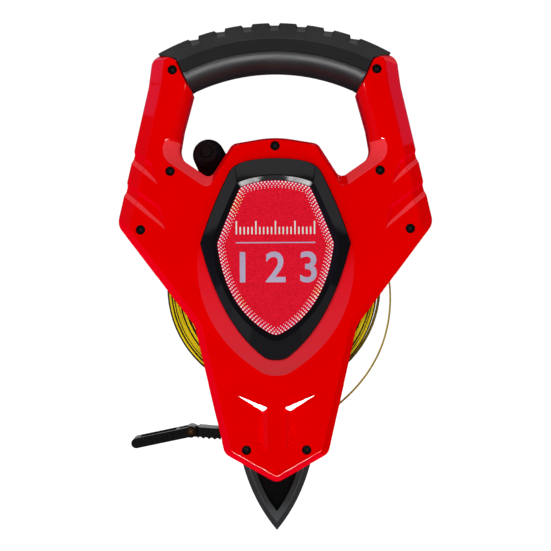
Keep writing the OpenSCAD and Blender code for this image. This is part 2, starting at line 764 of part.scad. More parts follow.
// The wound tape: a plain core, and over it one strip that spirals outwards in loose turns
core_gap = 0.7;
turns_r = winding_r - tape_t / 2;
turns_in_r = turns_r - loose_turns * turn_pitch;
core_r = turns_in_r - tape_t / 2 - core_gap;
turn_start = 68;
turn_rings = 30;
spiral_n = loose_turns * turn_rings;
function spiral_point(i) =
  let (a = turn_start - 360 * (loose_turns - i / turn_rings), r = turns_in_r + turn_pitch * i / turn_rings)
  [r * cos(a), axis_z + r * sin(a)];
spiral = [for (i = [0:spiral_n]) spiral_point(i)];
least_turn_gap = min([for (i = [0:spiral_n - turn_rings]) norm(spiral[i + turn_rings] - spiral[i])]) - tape_t;
echo(least_gap_between_turns = least_turn_gap);

module tape_core() {
  color("#c9c21a") ring(0, axis_z, core_r, drum_r + seat_gap, -tape_w / 2, tape_w / 2);
}

// A flat strip along a path in X and Z
module strip(path, thick, width) {
  n = len(path);
  ways = [for (i = [0:n - 1]) left_of(path[max(i - 1, 0)], path[min(i + 1, n - 1)])];
  points = [for (i = [0:n - 1]) for (c = [[1, -1], [1, 1], [-1, 1], [-1, -1]])
    let (q = path[i] + c[0] * ways[i] * thick / 2)
    [q[0], c[1] * width / 2, q[1]]];
  sides = [for (i = [0:n - 2]) for (k = [0:3])
    let (a = 4 * i + k, b = 4 * i + (k + 1) % 4)
    each [[a, a + 4, b + 4], [a, b + 4, b]]];
  end = 4 * (n - 1);
  polyhedron(points, concat([[0, 1, 2], [0, 2, 3], [end, end + 2, end + 1], [end, end + 3, end + 2]], sides));
}

module tape_turns() {
  color("#d8d020") strip(spiral, tape_t, tape_w);
}

// A smooth curve through the route's points
route_steps = 4;
function smooth(p, i, t) =
  let (n = len(p), a = p[max(i - 1, 0)], b = p[i], c = p[i + 1], d = p[min(i + 2, n - 1)])
  0.5 * (2 * b + (c - a) * t + (2 * a - 5 * b + 4 * c - d) * t * t + (3 * b - a - 3 * c + d) * t * t * t);
lead_path = concat(
  [for (i = [0:len(tape_route) - 2]) for (k = [0:route_steps - 1]) smooth(tape_route, i, k / route_steps)],
  [tape_route[len(tape_route) - 1]]);

module tape_lead() {
  color("#d8d020") strip(lead_path, tape_t, tape_w);
}

// The crank's own frame: X along the arm, Z across it
module on_crank() {
  translate([0, 0, axis_z]) rotate([0, -crank_angle, 0]) children();
}

module crank_post() {
  color("#1b1b1b") difference() {
    rod(0, axis_z, post_r, post_y, post_end_y);
    spigot(fit_gap, post_y - 1, post_y + spigot_len + 0.2);
    rod(0, axis_z, bolt_r + slip_gap, post_y, post_end_y + 1);
    rod(0, axis_z, bolt_head_r + slip_gap, post_floor_y - bolt_head_h - 0.4, post_end_y + 1);
    on_crank() {
      translate([-post_r - 1, post_floor_y, -slot_half]) cube([2 * post_r + 2, 50, 2 * slot_half]);
      translate([0, fold_y, -post_r - 1]) cylinder(r = fold_pin_r + fit_gap, h = 2 * post_r + 2);
    }
  }
}

bolt_head_r = 4.2;
bolt_head_h = 3.2;
module post_screw() {
  head_y = post_floor_y - bolt_head_h - 0.4;
  color("#8d9093") difference() {
    union() {
      rod(0, axis_z, bolt_r, 4, head_y + 0.5);
      rod(0, axis_z, bolt_head_r, head_y, head_y + bolt_head_h);
    }
    translate([0, head_y + bolt_head_h, axis_z]) rotate([-90, 0, 0])
      cylinder(r = 2, h = 3.4, center = true, $fn = 6);
  }
}

module fold_pin() {
  half = post_r * 0.9;
  color("#8d9093") on_crank() translate([0, fold_y, -half]) cylinder(r = fold_pin_r, h = 2 * half);
}

module crank_arm() {
  neck = post_r + 3;
  color("#181818") on_crank() difference() {
    union() {
      translate([0, arm_y, -root_half]) cube([neck + 2, crank_t, 2 * root_half]);
      translate([0, fold_y, -root_half]) cylinder(r = crank_t / 2, h = 2 * root_half);
      slab(arm_y, arm_back_y) polygon([
        [neck, -11.5], [neck + 6, -13.5], [crank_r, -crank_eye_r], [crank_r, crank_eye_r], [neck + 6, 13.5],
        [neck, 11.5]
      ]);
      rod(crank_r, 0, crank_eye_r, arm_y, arm_back_y);
    }
    translate([0, fold_y, -50]) cylinder(r = fold_pin_r + fit_gap, h = 100);
    rod(crank_r, 0, axle_r + fit_gap, arm_y - 1, arm_back_y + 1);
    slab(arm_back_y - 1.8, arm_back_y + 1)
      polygon([[neck + 8, -8.5], [crank_r - 14, -5.8], [crank_r - 14, 5.8], [neck + 8, 8.5]]);
  }
}

button_h = 2;
module knob_axle() {
  color("#101010") on_crank() union() {
    rod(crank_r, 0, button_r, button_y, button_y + button_h);
    rod(crank_r, 0, axle_r, button_y + button_h - 0.5, arm_back_y);
  }
}

// The rear head that is riveted over the axle's end
module axle_rivet() {
  rivet_head_r = axle_r + 2.2;
  color("#8d9093") on_crank() rod(crank_r, 0, rivet_head_r, arm_back_y, arm_back_y + 1.2);
}

module crank_knob() {
  r0 = knob_tip_r;
  r1 = knob_base_r;
  bore = axle_r + 0.08;
  profile = [
    [bore, knob_len], [bore, button_h], [button_r + 0.25, button_h], [button_r + 0.25, 0], [r0 - 1.3, 0],
    [r0 - 0.4, 0.4], [r0, 1.3], [r0 + 0.3, knob_len * 0.4], [r1 - 0.3, knob_len * 0.75], [r1, knob_len - 2],
    [r1 - 0.5, knob_len - 0.5], [r1 - 1.2, knob_len]
  ];
  color("#121212") on_crank() translate([crank_r, knob_y, 0]) rotate([-90, 0, 0])
    rotate_extrude() polygon(profile);
}

// The hook's own frames: X runs from the rivet along the bar, or along the claw
module on_bar() {
  translate([rivet_x, 0, rivet_z]) rotate([0, bar_slope, 0]) children();
}
module on_claw() {
  translate([rivet_x, 0, rivet_z]) rotate([0, 180 - claw_droop, 0]) children();
}

eye_r = hook_h / 2 + 0.2;
module hook_body() {
  bar_start = eye_r + 0.7;
  scallops = 4;
  scallop_r = 1.4;
  scallop_pitch = (bar_end - bar_start) / scallops;
  color("#1e1e1e") on_bar() difference() {
    union() {
      translate([bar_start, -hook_w / 2, -hook_h / 2]) cube([bar_end - bar_start, hook_w, hook_h]);
      translate([0, -tongue_w / 2, -hook_h / 2]) cube([bar_start + 1, tongue_w, hook_h]);
      rod(0, 0, eye_r, -tongue_w / 2, tongue_w / 2);
    }
    rod(0, 0, rivet_r + fit_gap, -hook_w, hook_w);
    for (k = [0:scallops - 1])
      rod(bar_start + scallop_pitch * (k + 0.5), -hook_h / 2 - 0.6, scallop_r, -hook_w, hook_w);
    translate([bar_end - 4, -tape_w / 2 - slip_gap, -tape_t / 2 - 0.45])
      cube([10, tape_w + 2 * slip_gap, tape_t + 0.9]);
  }
}

// Claw: two cheeks on the rivet, two crossbars and a long window between them
module hook_claw() {
  claw_h = hook_h - 0.6;
  cheek_in = tongue_w / 2 + 0.35;
  window_start = eye_r + 5.2;
  window_end = claw_len - 5.5;
  gap_end = eye_r + 3.2;
  ribs = 5;
  color("#1a1a1a") on_claw() difference() {
    union() {
      translate([0, -hook_w / 2, -claw_h / 2]) cube([claw_len - claw_h / 2, hook_w, claw_h]);
      rod(claw_len - claw_h / 2, 0, claw_h / 2, -hook_w / 2, hook_w / 2);
      rod(0, 0, eye_r, -hook_w / 2, hook_w / 2);
    }
    translate([-eye_r - 1, -cheek_in, -10]) cube([gap_end + eye_r + 1, 2 * cheek_in, 20]);
    translate([window_start, -hook_w / 2 + 2, -10]) cube([window_end - window_start, hook_w - 4, 20]);
    for (s = [-1, 1]) for (k = [0:ribs - 1])
      translate([11 + 3.1 * k, s * hook_w / 2, 0]) cube([1.1, 0.8, claw_h - 1.2], center = true);
    rod(0, 0, rivet_r + fit_gap, -hook_w, hook_w);
  }
}

module hook_rivet() {
  head = rivet_r + 0.55;
  head_t = 0.5;
  out = hook_w / 2 + seat_gap;
  color("#c79a3a") on_bar() difference() {
    union() {
      rod(0, 0, rivet_r, -hook_w / 2 - 0.1, hook_w / 2 + 0.1);
      rod(0, 0, head, -out - head_t, -out);
      rod(0, 0, head, out, out + head_t);
    }
    rod(0, 0, rivet_hole_r, -hook_w, hook_w);
  }
}

front_cover();
rear_cover();
cover_screws();
badge_ring();
badge_plate();
grip_core();
grip_sleeve();
ground_spike();
front_bush();
rear_bush();
thrust_washers();
reel_shaft();
reel_drum();
front_flange();
rear_flange();
flange_screws();
tape_anchor();
tape_core();
tape_turns();
tape_lead();
crank_post();
post_screw();
fold_pin();
crank_arm();
knob_axle();
axle_rivet();
crank_knob();
hook_body();
hook_claw();
hook_rivet();
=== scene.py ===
"""Looks of an open reel long tape measure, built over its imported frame.

Shapes are in millimetres until they become mesh vertices, lamps and the camera in metres.
X is right, Y is rearward, Z is up, and the origin is the tip of the ground spike.
"""

import json
import math
from collections import namedtuple

import bmesh
import bpy
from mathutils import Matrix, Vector
from mathutils.geometry import delaunay_2d_cdt

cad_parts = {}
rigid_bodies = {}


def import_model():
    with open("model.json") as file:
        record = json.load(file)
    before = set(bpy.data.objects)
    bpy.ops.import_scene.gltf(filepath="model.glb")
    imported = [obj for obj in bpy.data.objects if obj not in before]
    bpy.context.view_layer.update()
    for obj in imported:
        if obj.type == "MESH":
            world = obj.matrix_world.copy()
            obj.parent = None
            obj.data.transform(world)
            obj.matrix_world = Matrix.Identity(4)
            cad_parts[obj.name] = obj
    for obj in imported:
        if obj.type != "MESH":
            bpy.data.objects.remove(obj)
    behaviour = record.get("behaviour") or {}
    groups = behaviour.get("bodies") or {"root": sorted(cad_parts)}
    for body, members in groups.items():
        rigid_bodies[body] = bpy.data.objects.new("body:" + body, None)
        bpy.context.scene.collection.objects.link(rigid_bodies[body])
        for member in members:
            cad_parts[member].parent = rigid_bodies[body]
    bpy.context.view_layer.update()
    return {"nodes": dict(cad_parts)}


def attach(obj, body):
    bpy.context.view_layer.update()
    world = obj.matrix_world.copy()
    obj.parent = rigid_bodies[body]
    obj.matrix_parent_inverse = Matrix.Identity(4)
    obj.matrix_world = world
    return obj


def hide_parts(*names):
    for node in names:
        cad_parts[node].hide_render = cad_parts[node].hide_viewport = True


MM = 0.001

for old in list(bpy.data.objects):
    bpy.data.objects.remove(old)
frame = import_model()
nodes = frame["nodes"]
scene = bpy.context.scene


# Plane geometry in X and Z
ON_AXIS = 0.001
NEAR_AXIS = 0.01


def unit(v):
    size = math.hypot(v[0], v[1])
    return (v[0] / size, v[1] / size)


def step(a, b):
    return (b[0] - a[0], b[1] - a[1])


def way_to(a, b):
    return unit(step(a, b))


def left_of(a, b):
    x, z = way_to(a, b)
    return (-z, x)


def half_way(first, second):
    """The direction midway between two directions."""
    return unit((first[0] + second[0], first[1] + second[1]))


def dot(a, b):
    return a[0] * b[0] + a[1] * b[1]


def along(p, way, distance):
    return (p[0] + way[0] * distance, p[1] + way[1] * distance)


def mix(a, b, t):
    return a + (b - a) * t


def mix_all(first, second, t):
    return tuple(mix(a, b, t) for a, b in zip(first, second))


def sides(loop):
    """The edges of a closed loop as pairs of neighbours."""
    return zip(loop, loop[1:] + loop[:1])


def between(first, second, share):
    """An outline at some share of the way from one outline to another with as many points."""
    return [mix_all(a, b, share) for a, b in zip(first, second)]


def length_of(edges):
    return sum(math.dist(a, b) for a, b in edges)


def corner_arc(before, p, after, radius, steps):
    u = way_to(p, before)
    v = way_to(p, after)
    half = math.acos(max(-1.0, min(1.0, dot(u, v)))) / 2
    centre = along(p, half_way(u, v), radius / math.sin(half))
    start = step(centre, along(p, u, radius / math.tan(half)))
    end = step(centre, along(p, v, radius / math.tan(half)))
    first = math.atan2(start[1], start[0])
    turn = math.atan2(end[1], end[0]) - first
    turn = (turn + math.pi) % (2 * math.pi) - math.pi
    angles = [first + turn * i / steps for i in range(steps + 1)]
    return [(centre[0] + radius * math.cos(a), centre[1] + radius * math.sin(a)) for a in angles]


def bezier(a, c, b, count):
    steps = [i / count for i in range(count + 1)]
    return [tuple((1 - t) ** 2 * a[k] + 2 * t * (1 - t) * c[k] + t * t * b[k] for k in (0, 1)) for t in steps]


def inside(p, loop):
    hit = False
    for a, b in sides(loop):
        if (a[1] > p[1]) != (b[1] > p[1]):
            if p[0] < a[0] + (p[1] - a[1]) / (b[1] - a[1]) * (b[0] - a[0]):
                hit = not hit
    return hit


def box(left, low, right, high):
    return [(left, low), (right, low), (right, high), (left, high)]


def circle(x, z, radius, count):
    angles = [2 * math.pi * i / count for i in range(count)]
    return [(x + radius * math.cos(a), z + radius * math.sin(a)) for a in angles]


def inset(points, distance):
    """An outline moved inwards, or outwards if the distance is negative."""
    moved = []
    for i, p in enumerate(points):
        before = left_of(points[i - 1], p)
        after = left_of(p, points[(i + 1) % len(points)])
        way = half_way(before, after)
        moved.append(along(p, way, distance / dot(way, before)))
    return moved


def respaced(line, count):
    """The same line with the given number of evenly spaced points."""
    runs = [0.0]
    for a, b in zip(line, line[1:]):
        runs.append(runs[-1] + math.dist(a, b))
    made = []
    k = 0
    for i in range(count):
        want = runs[-1] * i / (count - 1)
        while k < len(runs) - 2 and runs[k + 1] < want:
            k += 1
        made.append(mix_all(line[k], line[k + 1], (want - runs[k]) / (runs[k + 1] - runs[k])))
    return made


def mirrored(right):
    return right + [(-x, z) for x, z in reversed(right) if x > ON_AXIS]


# Meshes
def link(name, data):
    made = bpy.data.objects.new(name, data)
    scene.collection.objects.link(made)
    return made


def make(name, points, faces, material, sharp=30.0):
    """A piece from points in millimetres; edges sharper than the given angle stay sharp."""
    mesh = bpy.data.meshes.new(name)
    mesh.from_pydata([Vector(p) * MM for p in points], [], faces)
    made = link(name, mesh)
    add_paints(made, material)
    work = bmesh.new()
    work.from_mesh(mesh)
    bmesh.ops.recalc_face_normals(work, faces=work.faces[:])
    work.to_mesh(mesh)
    work.free()
    shade(mesh, sharp)
    return made


def shade(mesh, sharp):
    mesh.shade_smooth()
    mesh.set_sharp_from_angle(angle=math.radians(sharp))
    mesh.update()


def weigh_normals(made):
    modifier = made.modifiers.new("even_normals", "WEIGHTED_NORMAL")
    modifier.keep_sharp = True
    modifier.weight = 60


def add_paints(made, *paints):
    for paint in paints:
        made.data.materials.append(paint)


def paint_faces(made, material, chosen):
    """Gives one more material to the faces whose centre and normal pass a test."""
    add_paints(made, material)
    for polygon in made.data.polygons:
        if chosen(polygon.center / MM, polygon.normal):
            polygon.material_index = len(made.data.materials) - 1


def strips(count, first, second):
    return [(first + i, first + (i + 1) % count, second + (i + 1) % count, second + i) for i in range(count)]


def tube(count, rings, first=0):
    """Faces through rings of points that follow each other, closed at both ends."""
    starts = [first + count * k for k in range(rings)]
    faces = [face for a, b in zip(starts, starts[1:]) for face in strips(count, a, b)]
    return faces + [tuple(range(start, start + count)) for start in (starts[0], starts[-1])]


def loft(name, levels, material, sharp=30.0):
    """A closed piece through outlines of equal length, each given as (points in X and Z, y)."""
    points = [(x, y, z) for outline, y in levels for x, z in outline]
    return make(name, points, tube(len(levels[0][0]), len(levels)), material, sharp)


def slab(name, outline, half, material):
    return loft(name, [(outline, -half), (outline, half)], material)


def evaluated_mesh(made):
    bpy.context.view_layer.update()
    return bpy.data.meshes.new_from_object(made.evaluated_get(bpy.context.evaluated_depsgraph_get()))


def carve(pieces, cutters, sharp):
    """Takes the cutters out of each piece, with the cutters' materials, and then removes them."""
    for made in pieces:
        for cutter in cutters:
            modifier = made.modifiers.new("cut", "BOOLEAN")
            modifier.operation = "DIFFERENCE"
            modifier.solver = "EXACT"
            modifier.object = cutter
            modifier.material_mode = "TRANSFER"
        result = evaluated_mesh(made)
        made.modifiers.clear()
        made.data = result
        shade(result, sharp)
        weigh_normals(made)
    for cutter in cutters:
        bpy.data.objects.remove(cutter)


# Materials
BROAD_SCALE = 45.0
HUE_SCALE = 70.0
SPARKLE_SCALE = 2200.0
ROUGH_SPREAD = 0.05
NOISE_LOW = 0.3
NOISE_HIGH = 0.7
BUMP_DEPTH = 0.0002
FOIL_DEPTH = 0.0001


def feed(tree, node, values):
    """Fills a node's inputs, by name or number, with plain values or with links from other sockets."""
    for key, value in values.items():
        if isinstance(value, bpy.types.NodeSocket):
            tree.links.new(value, node.inputs[key])
        else:
            node.inputs[key].default_value = value


def add_node(tree, kind, values):
    made = tree.nodes.new("ShaderNode" + kind)
    feed(tree, made, values)
    return made


def new_material(name):
    """A material with its node tree, its shader and the object's own coordinates."""
    made = bpy.data.materials.new(name)
    made.use_nodes = True
    tree = made.node_tree
    return made, tree, tree.nodes["Principled BSDF"], add_node(tree, "TexCoord", {}).outputs["Object"]


def noise(tree, coords, scale, detail=3.0):
    return add_node(tree, "TexNoise", {"Scale": scale, "Detail": detail, "Vector": coords}).outputs["Fac"]


def ramp(tree, source, stops):
    made = add_node(tree, "ValToRGB", {"Fac": source})
    elements = made.color_ramp.elements
    while len(elements) < len(stops):
        elements.new(0.5)
    for element, (place, colour) in zip(elements, stops):
        element.position = place
        element.color = (*colour, 1.0)
    return made.outputs["Color"]


def rescale(tree, source, start, end, low=0.0, high=1.0):
    made = add_node(tree, "MapRange", {
        "Value": source, "From Min": start, "From Max": end, "To Min": low, "To Max": high
    })
    return made.outputs["Result"]


def spread(tree, source, low, high):
    """Turns the middle of a noise into a range."""
    return rescale(tree, source, NOISE_LOW, NOISE_HIGH, low, high)


def bumped(tree, height, strength, distance):
    made = add_node(tree, "Bump", {"Strength": strength, "Distance": distance, "Height": height})
    return made.outputs["Normal"]


def surface(name, colour, rough, tone=0.06, grain=900.0, bump=0.05, metal=0.0, shine=0.5, coat=0.0,
            coat_rough=0.05):
    made, tree, shader, coords = new_material(name)
    broad = noise(tree, coords, BROAD_SCALE)
    fine = noise(tree, coords, grain, 2.0)
    dark = [c * (1 - tone) for c in colour]
    light = [min(1.0, c * (1 + tone)) for c in colour]
    feed(tree, shader, {
        "Base Color": ramp(tree, broad, [(NOISE_LOW, dark), (NOISE_HIGH, light)]),
        "Roughness": spread(tree, broad, rough - ROUGH_SPREAD, rough + ROUGH_SPREAD),
        "Normal": bumped(tree, fine, bump, BUMP_DEPTH),
        "Metallic": metal, "Specular IOR Level": shine, "Coat Weight": coat, "Coat Roughness": coat_rough
    })
    return made


def by_height(name, stops):
    """Paint that changes along Z, from rows of (height, colour); here it carries painted sheen and shade."""
    made, tree, shader, coords = new_material(name)
    low, high = stops[0][0], stops[-1][0]
    level = add_node(tree, "SeparateXYZ", {"Vector": coords}).outputs["Z"]
    share = rescale(tree, level, low * MM, high * MM)
    feed(tree, shader, {
        "Base Color": ramp(tree, share, [((z - low) / (high - low), c) for z, c in stops]),
        "Roughness": spread(tree, noise(tree, coords, BROAD_SCALE), 0.45, 0.55),
        "Specular IOR Level": 0.0
    })
    return made


def by_hue(name, stops):
    """Paint whose colour drifts slowly, from rows of (noise level, colour)."""
    made, tree, shader, coords = new_material(name)
    colour = ramp(tree, noise(tree, coords, HUE_SCALE), stops)
    feed(tree, shader, {"Base Color": colour, "Roughness": 0.45, "Specular IOR Level": 0.2})
    return made


def foil(name, dark, light):
    """Foil with a fine sparkle between two colours."""
    made, tree, shader, coords = new_material(name)
    grains = add_node(tree, "TexVoronoi", {"Scale": SPARKLE_SCALE, "Vector": coords})
    split = add_node(tree, "SeparateColor", {"Color": grains.outputs["Color"]})
    feed(tree, shader, {
        "Base Color": ramp(tree, split.outputs["Red"], [(0.0, dark), (1.0, light)]),
        "Roughness": spread(tree, split.outputs["Green"], 0.3, 0.55),
        "Normal": bumped(tree, split.outputs["Blue"], 0.15, FOIL_DEPTH),
        "Specular IOR Level": 0.08
    })
    return made


# Covers: a coated shell, and uncoated reds for faces turned another way: painted sheen, painted light,
# painted shade and a flat red
RED_GRAIN = {"tone": 0.03, "grain": 500.0, "bump": 0.02, "shine": 0.0}
red_shell = surface("red_shell", (0.74, 0.0, 0.0), 0.3, coat=0.8, coat_rough=0.04, **RED_GRAIN)
# A lighter pink red as painted sheen, where facets and groove walls would reflect the sky
red_painted_sheen = surface("red_painted_sheen", (0.84, 0.041, 0.05), 0.5, **RED_GRAIN)
# A brighter red as painted light on bevels and walls that face the key lamp on the left and the glowing floor
# below
red_painted_light = surface("red_painted_light", (0.77, 0.0, 0.008), 0.5, **RED_GRAIN)
# A darker red as painted shade on bevels turned away from the light
red_painted_shade = surface("red_painted_shade", (0.67, 0.0, 0.0), 0.5, **RED_GRAIN)
red_flat = surface("red_flat", (0.72, 0.0, 0.0), 0.5, **RED_GRAIN)
# Painted sheen and shade on the crescent band: pinker and darker towards its low end, plain red at its top
red_band_sheen_and_shade = by_height("red_band_sheen_and_shade", (
    (92.0, (0.5, 0.03, 0.036)), (104.0, (0.6, 0.022, 0.032)), (124.0, (0.66, 0.016, 0.028)),
    (148.0, (0.7, 0.008, 0.016)), (168.0, (0.74, 0.0, 0.0))
))
RED_PAINTS = (red_shell, red_painted_sheen, red_painted_light, red_band_sheen_and_shade, red_painted_shade, red_flat)
PLAIN_PAINT, SHEEN_PAINT, PAINTED_LIGHT, BAND_SHEEN_AND_SHADE, SHADE_PAINT, FLAT_PAINT = range(len(RED_PAINTS))

# Badge
black_gloss = surface("black_gloss", (0.005, 0.005, 0.006), 0.16, bump=0.01, shine=0.0, coat=1.0,
                      coat_rough=0.07)
badge_foil = foil("badge_foil", (0.56, 0.002, 0.012), (0.78, 0.008, 0.03))
print_white = surface("print_white", (0.66, 0.74, 0.7), 0.45, tone=0.08)
print_lilac = surface("print_lilac", (0.42, 0.36, 0.5), 0.45, tone=0.1)
print_silver = by_hue("print_silver", (
    (0.3, (0.6, 0.55, 0.9)), (0.44, (0.86, 0.86, 0.88)), (0.52, (0.8, 0.6, 0.82)), (0.6, (0.9, 0.9, 0.86)),
    (0.72, (0.85, 0.8, 0.35))
))

# Grip and spike
RUBBER = {"tone": 0.15, "grain": 2500.0}
grip_matte = surface("grip_matte", (0.016, 0.0158, 0.016), 0.8, bump=0.5, shine=0.05, **RUBBER)
# A lighter copy of the rubber as painted light, for the facet that slopes up to the light
grip_upper_painted_light = surface("grip_upper_painted_light", (0.0258, 0.0256, 0.0252), 0.8, bump=0.5, shine=0.3, **RUBBER)
grip_notch = surface("grip_notch", (0.07, 0.07, 0.066), 0.8, bump=0.4, shine=0.3, **RUBBER)
grip_satin = surface("grip_satin", (0.009, 0.0095, 0.0105), 0.42, tone=0.1, grain=1800.0, bump=0.25)
SPIKE_GRAIN = {"tone": 0.12, "grain": 1500.0, "bump": 0.2}
spike_plastic = surface("spike_plastic", (0.024, 0.0255, 0.026), 0.5, shine=0.25, **SPIKE_GRAIN)
# A lighter grey as a painted highlight along the crease round the flat band
spike_edge_highlight = surface("spike_edge_highlight", (0.05, 0.054, 0.055), 0.45, **SPIKE_GRAIN)
# Near black as painted shade in the pockets
spike_pocket_shade = surface("spike_pocket_shade", (0.003, 0.003, 0.003), 0.7, bump=0.2, shine=0.1)
# Painted sheen: the flat faces grow lighter towards the tip
spike_face_sheen = by_height("spike_face_sheen", (
    (4.0, (0.074, 0.08, 0.083)), (9.0, (0.06, 0.067, 0.07)), (18.0, (0.031, 0.0325, 0.034)),
    (30.0, (0.026, 0.0275, 0.028))
))

# Tape
TAPE_GRAIN = {"grain": 1200.0, "bump": 0.2}
tape_face = surface("tape_yellow", (0.72, 0.58, 0.012), 0.45, tone=0.1, grain=1500.0, bump=0.1)
# The winding's edges: a brighter yellow than the tape's face, as painted light
tape_edge_painted_light = surface("tape_edge_painted_light", (0.84, 0.66, 0.003), 0.6, tone=0.12, shine=0.2, **TAPE_GRAIN)
# Dark brown as painted shade for the shadowed gaps between groups of turns
tape_painted_shade = surface("tape_painted_shade", (0.03, 0.022, 0.008), 0.6, tone=0.3, **TAPE_GRAIN)
# Brown as painted shade on the free tape's edges
lead_edge_painted_shade = surface("lead_edge_painted_shade", (0.26, 0.16, 0.03), 0.55, tone=0.2, **TAPE_GRAIN)

# Reel, crank, hook and screws
METAL_GRAIN = {"metal": 1.0, "grain": 2500.0, "bump": 0.08}
bright_steel = surface("bright_steel", (0.6, 0.61, 0.62), 0.28, **METAL_GRAIN)
shaft_alloy = surface("shaft_alloy", (0.5, 0.51, 0.52), 0.36, **METAL_GRAIN)
eyelet_brass = surface("eyelet_brass", (0.62, 0.42, 0.14), 0.25, metal=1.0)
bush_plastic = surface("bush_plastic", (0.7, 0.66, 0.55), 0.4)
reel_plastic = surface("reel_plastic", (0.016, 0.017, 0.018), 0.42, bump=0.12)
black_plastic = surface("black_plastic", (0.004, 0.004, 0.0042), 0.35, shine=0.3)
# A lighter black as painted light on the knob's faces that face forward
knob_face_painted_light = surface("knob_face_painted_light", (0.011, 0.011, 0.011), 0.5, shine=0.2)
hook_plastic = surface("hook_plastic", (0.005, 0.005, 0.005), 0.42, grain=1500.0, bump=0.2, shine=0.22)
black_screw = surface("black_screw", (0.004, 0.0035, 0.0035), 0.4, bump=0.1, shine=0.2)
# Grey as painted highlight on the walls and floor of the screws' cross recesses
screw_recess_highlight = surface("screw_recess_highlight", (0.035, 0.033, 0.032), 0.4, bump=0.1)

# The frame's outline, right side from the keel up: each corner has the bevel of the edge that follows it, and
# that edge's paint, some of it painted light, shade or sheen
ARM_BEVEL = 8.0
BODY_BEVEL = 4.5
SHOULDER = (92.38, 180.0)
ARM_BEND = (73.7, 260.4)
ARM_TOP = (70.9, 281.4)
ARM_EDGE = ((47.8, 256.5), (56.7, 276.0))
GROOVE_LOW_WAY = unit((-24.7, -20.0))
GROOVE_HIGH_WAY = unit((-19.8, -14.4))
GROOVE_WALL = 2.9
GROOVE_LIP = 1.9
BED_RISE = GROOVE_WALL * 0.55
BED_BACK = 2.4
BED_FRONT = 0.5
GROOVE_STEP = 0.9
SHOULDER_WAY = left_of(SHOULDER, ARM_BEND)
# Each groove: the heights of its low and high end on the shoulder, and the lengths of its two edges
GROOVES = [(196.9, 204.8, 31.8, 24.5), (215.9, 223.3, 20.7, 13.3)]
# Kinds of edge, as shares of soft and tall
HARD = (0.0, 0.0)
SOFT = (1.0, 0.0)
TALL = (0.0, 1.0)
Corner = namedtuple(
    "Corner", "x z radius bevel kind way sunk tag paint", defaults=(HARD, None, 0.0, None, PLAIN_PAINT))


def on_shoulder(z):
    t = (z - SHOULDER[1]) / (ARM_BEND[1] - SHOULDER[1])
    return (mix(SHOULDER[0], ARM_BEND[0], t), z)


def groove_corners(number):
    low, high = GROOVES[number][:2]
    made = []
    # The edge up the groove's lower wall takes painted sheen, the edge down its lip painted light
    for place, (z, way, sunk, paint) in enumerate([
        (low, GROOVE_LOW_WAY, 0.0, SHEEN_PAINT), (low + GROOVE_WALL, GROOVE_LOW_WAY, 1.0, PLAIN_PAINT),
        (high - GROOVE_LIP, GROOVE_HIGH_WAY, 1.0, PAINTED_LIGHT), (high, GROOVE_HIGH_WAY, 0.0, PLAIN_PAINT)
    ]):
        x, z = along(on_shoulder(z), way, GROOVE_STEP * sunk)
        made.append(Corner(x, z, 0, ARM_BEVEL, way=way, sunk=sunk, tag=(number, place), paint=paint))
    return made


def both_sides(right):
    """The corners of both sides; on the left each corner takes the edge that leads to it on the right."""
    left = []
    for edge, c in zip([right[0], *right], right):
        if c.x > ON_AXIS:
            way = c.way and (-c.way[0], c.way[1])
            tag = c.tag and (c.tag[0] + len(GROOVES), c.tag[1])
            # On the left the bevels take painted light where the right has painted shade or flat red, as the
            # key lamp is on the left
            paint = PAINTED_LIGHT if edge.paint in (SHADE_PAINT, FLAT_PAINT) else edge.paint
            left.append(c._replace(x=-c.x, bevel=edge.bevel, kind=edge.kind, way=way, tag=tag, paint=paint))
    return right + left[::-1]


frame_corners = both_sides([
    # The chevron's bevels take painted light
    Corner(0, 28.6, 6, 4.2, paint=PAINTED_LIGHT),
    # The right waist's bevels take painted shade
    Corner(30.4, 45.8, 7, BODY_BEVEL, paint=SHADE_PAINT),
    Corner(35.45, 68.0, 0, BODY_BEVEL, (0.0, 0.5), paint=SHADE_PAINT),
    Corner(36.82, 74.0, 0, BODY_BEVEL, TALL, paint=SHADE_PAINT),
    Corner(38.18, 80.0, 0, BODY_BEVEL, TALL, paint=SHADE_PAINT),
    Corner(47.4, 120.5, 12, BODY_BEVEL, TALL, paint=FLAT_PAINT),
    Corner(*SHOULDER, 9, ARM_BEVEL),
    *groove_corners(0),
    *groove_corners(1),
    Corner(*ARM_BEND, 30, ARM_BEVEL),
    # Painted sheen lightens the arm top's bevel, which the grip's lip shades
    Corner(*ARM_TOP, 7, 1.2, paint=SHEEN_PAINT),
    Corner(*ARM_EDGE[1], 3.5, 1.2, SOFT),
    Corner(51.1, 263.75, 0, 2.4, SOFT),
    Corner(*ARM_EDGE[0], 0, 7.0, SOFT),
    Corner(53.6, 235.4, 0, 7.0, SOFT),
    Corner(54.9, 228.0, 0, 6.4, (0.5, 0.0)),
    # The notch facets take painted sheen
    Corner(55.02, 227.3, 0, 10.5, paint=SHEEN_PAINT),
    Corner(55.7, 223.4, 0, 8.0, paint=SHEEN_PAINT),
    Corner(56.4, 219.4, 9, 5.8, paint=SHEEN_PAINT),
    Corner(38, 206.6, 4, 2.6),
    Corner(25, 227.0, 6, 1.9),
    Corner(0, 231.2, 60, 1.9),
])
ROUND_STEPS = 8
LEAST_RADIUS = 0.8
NEAR_STRAIGHT = 0.05


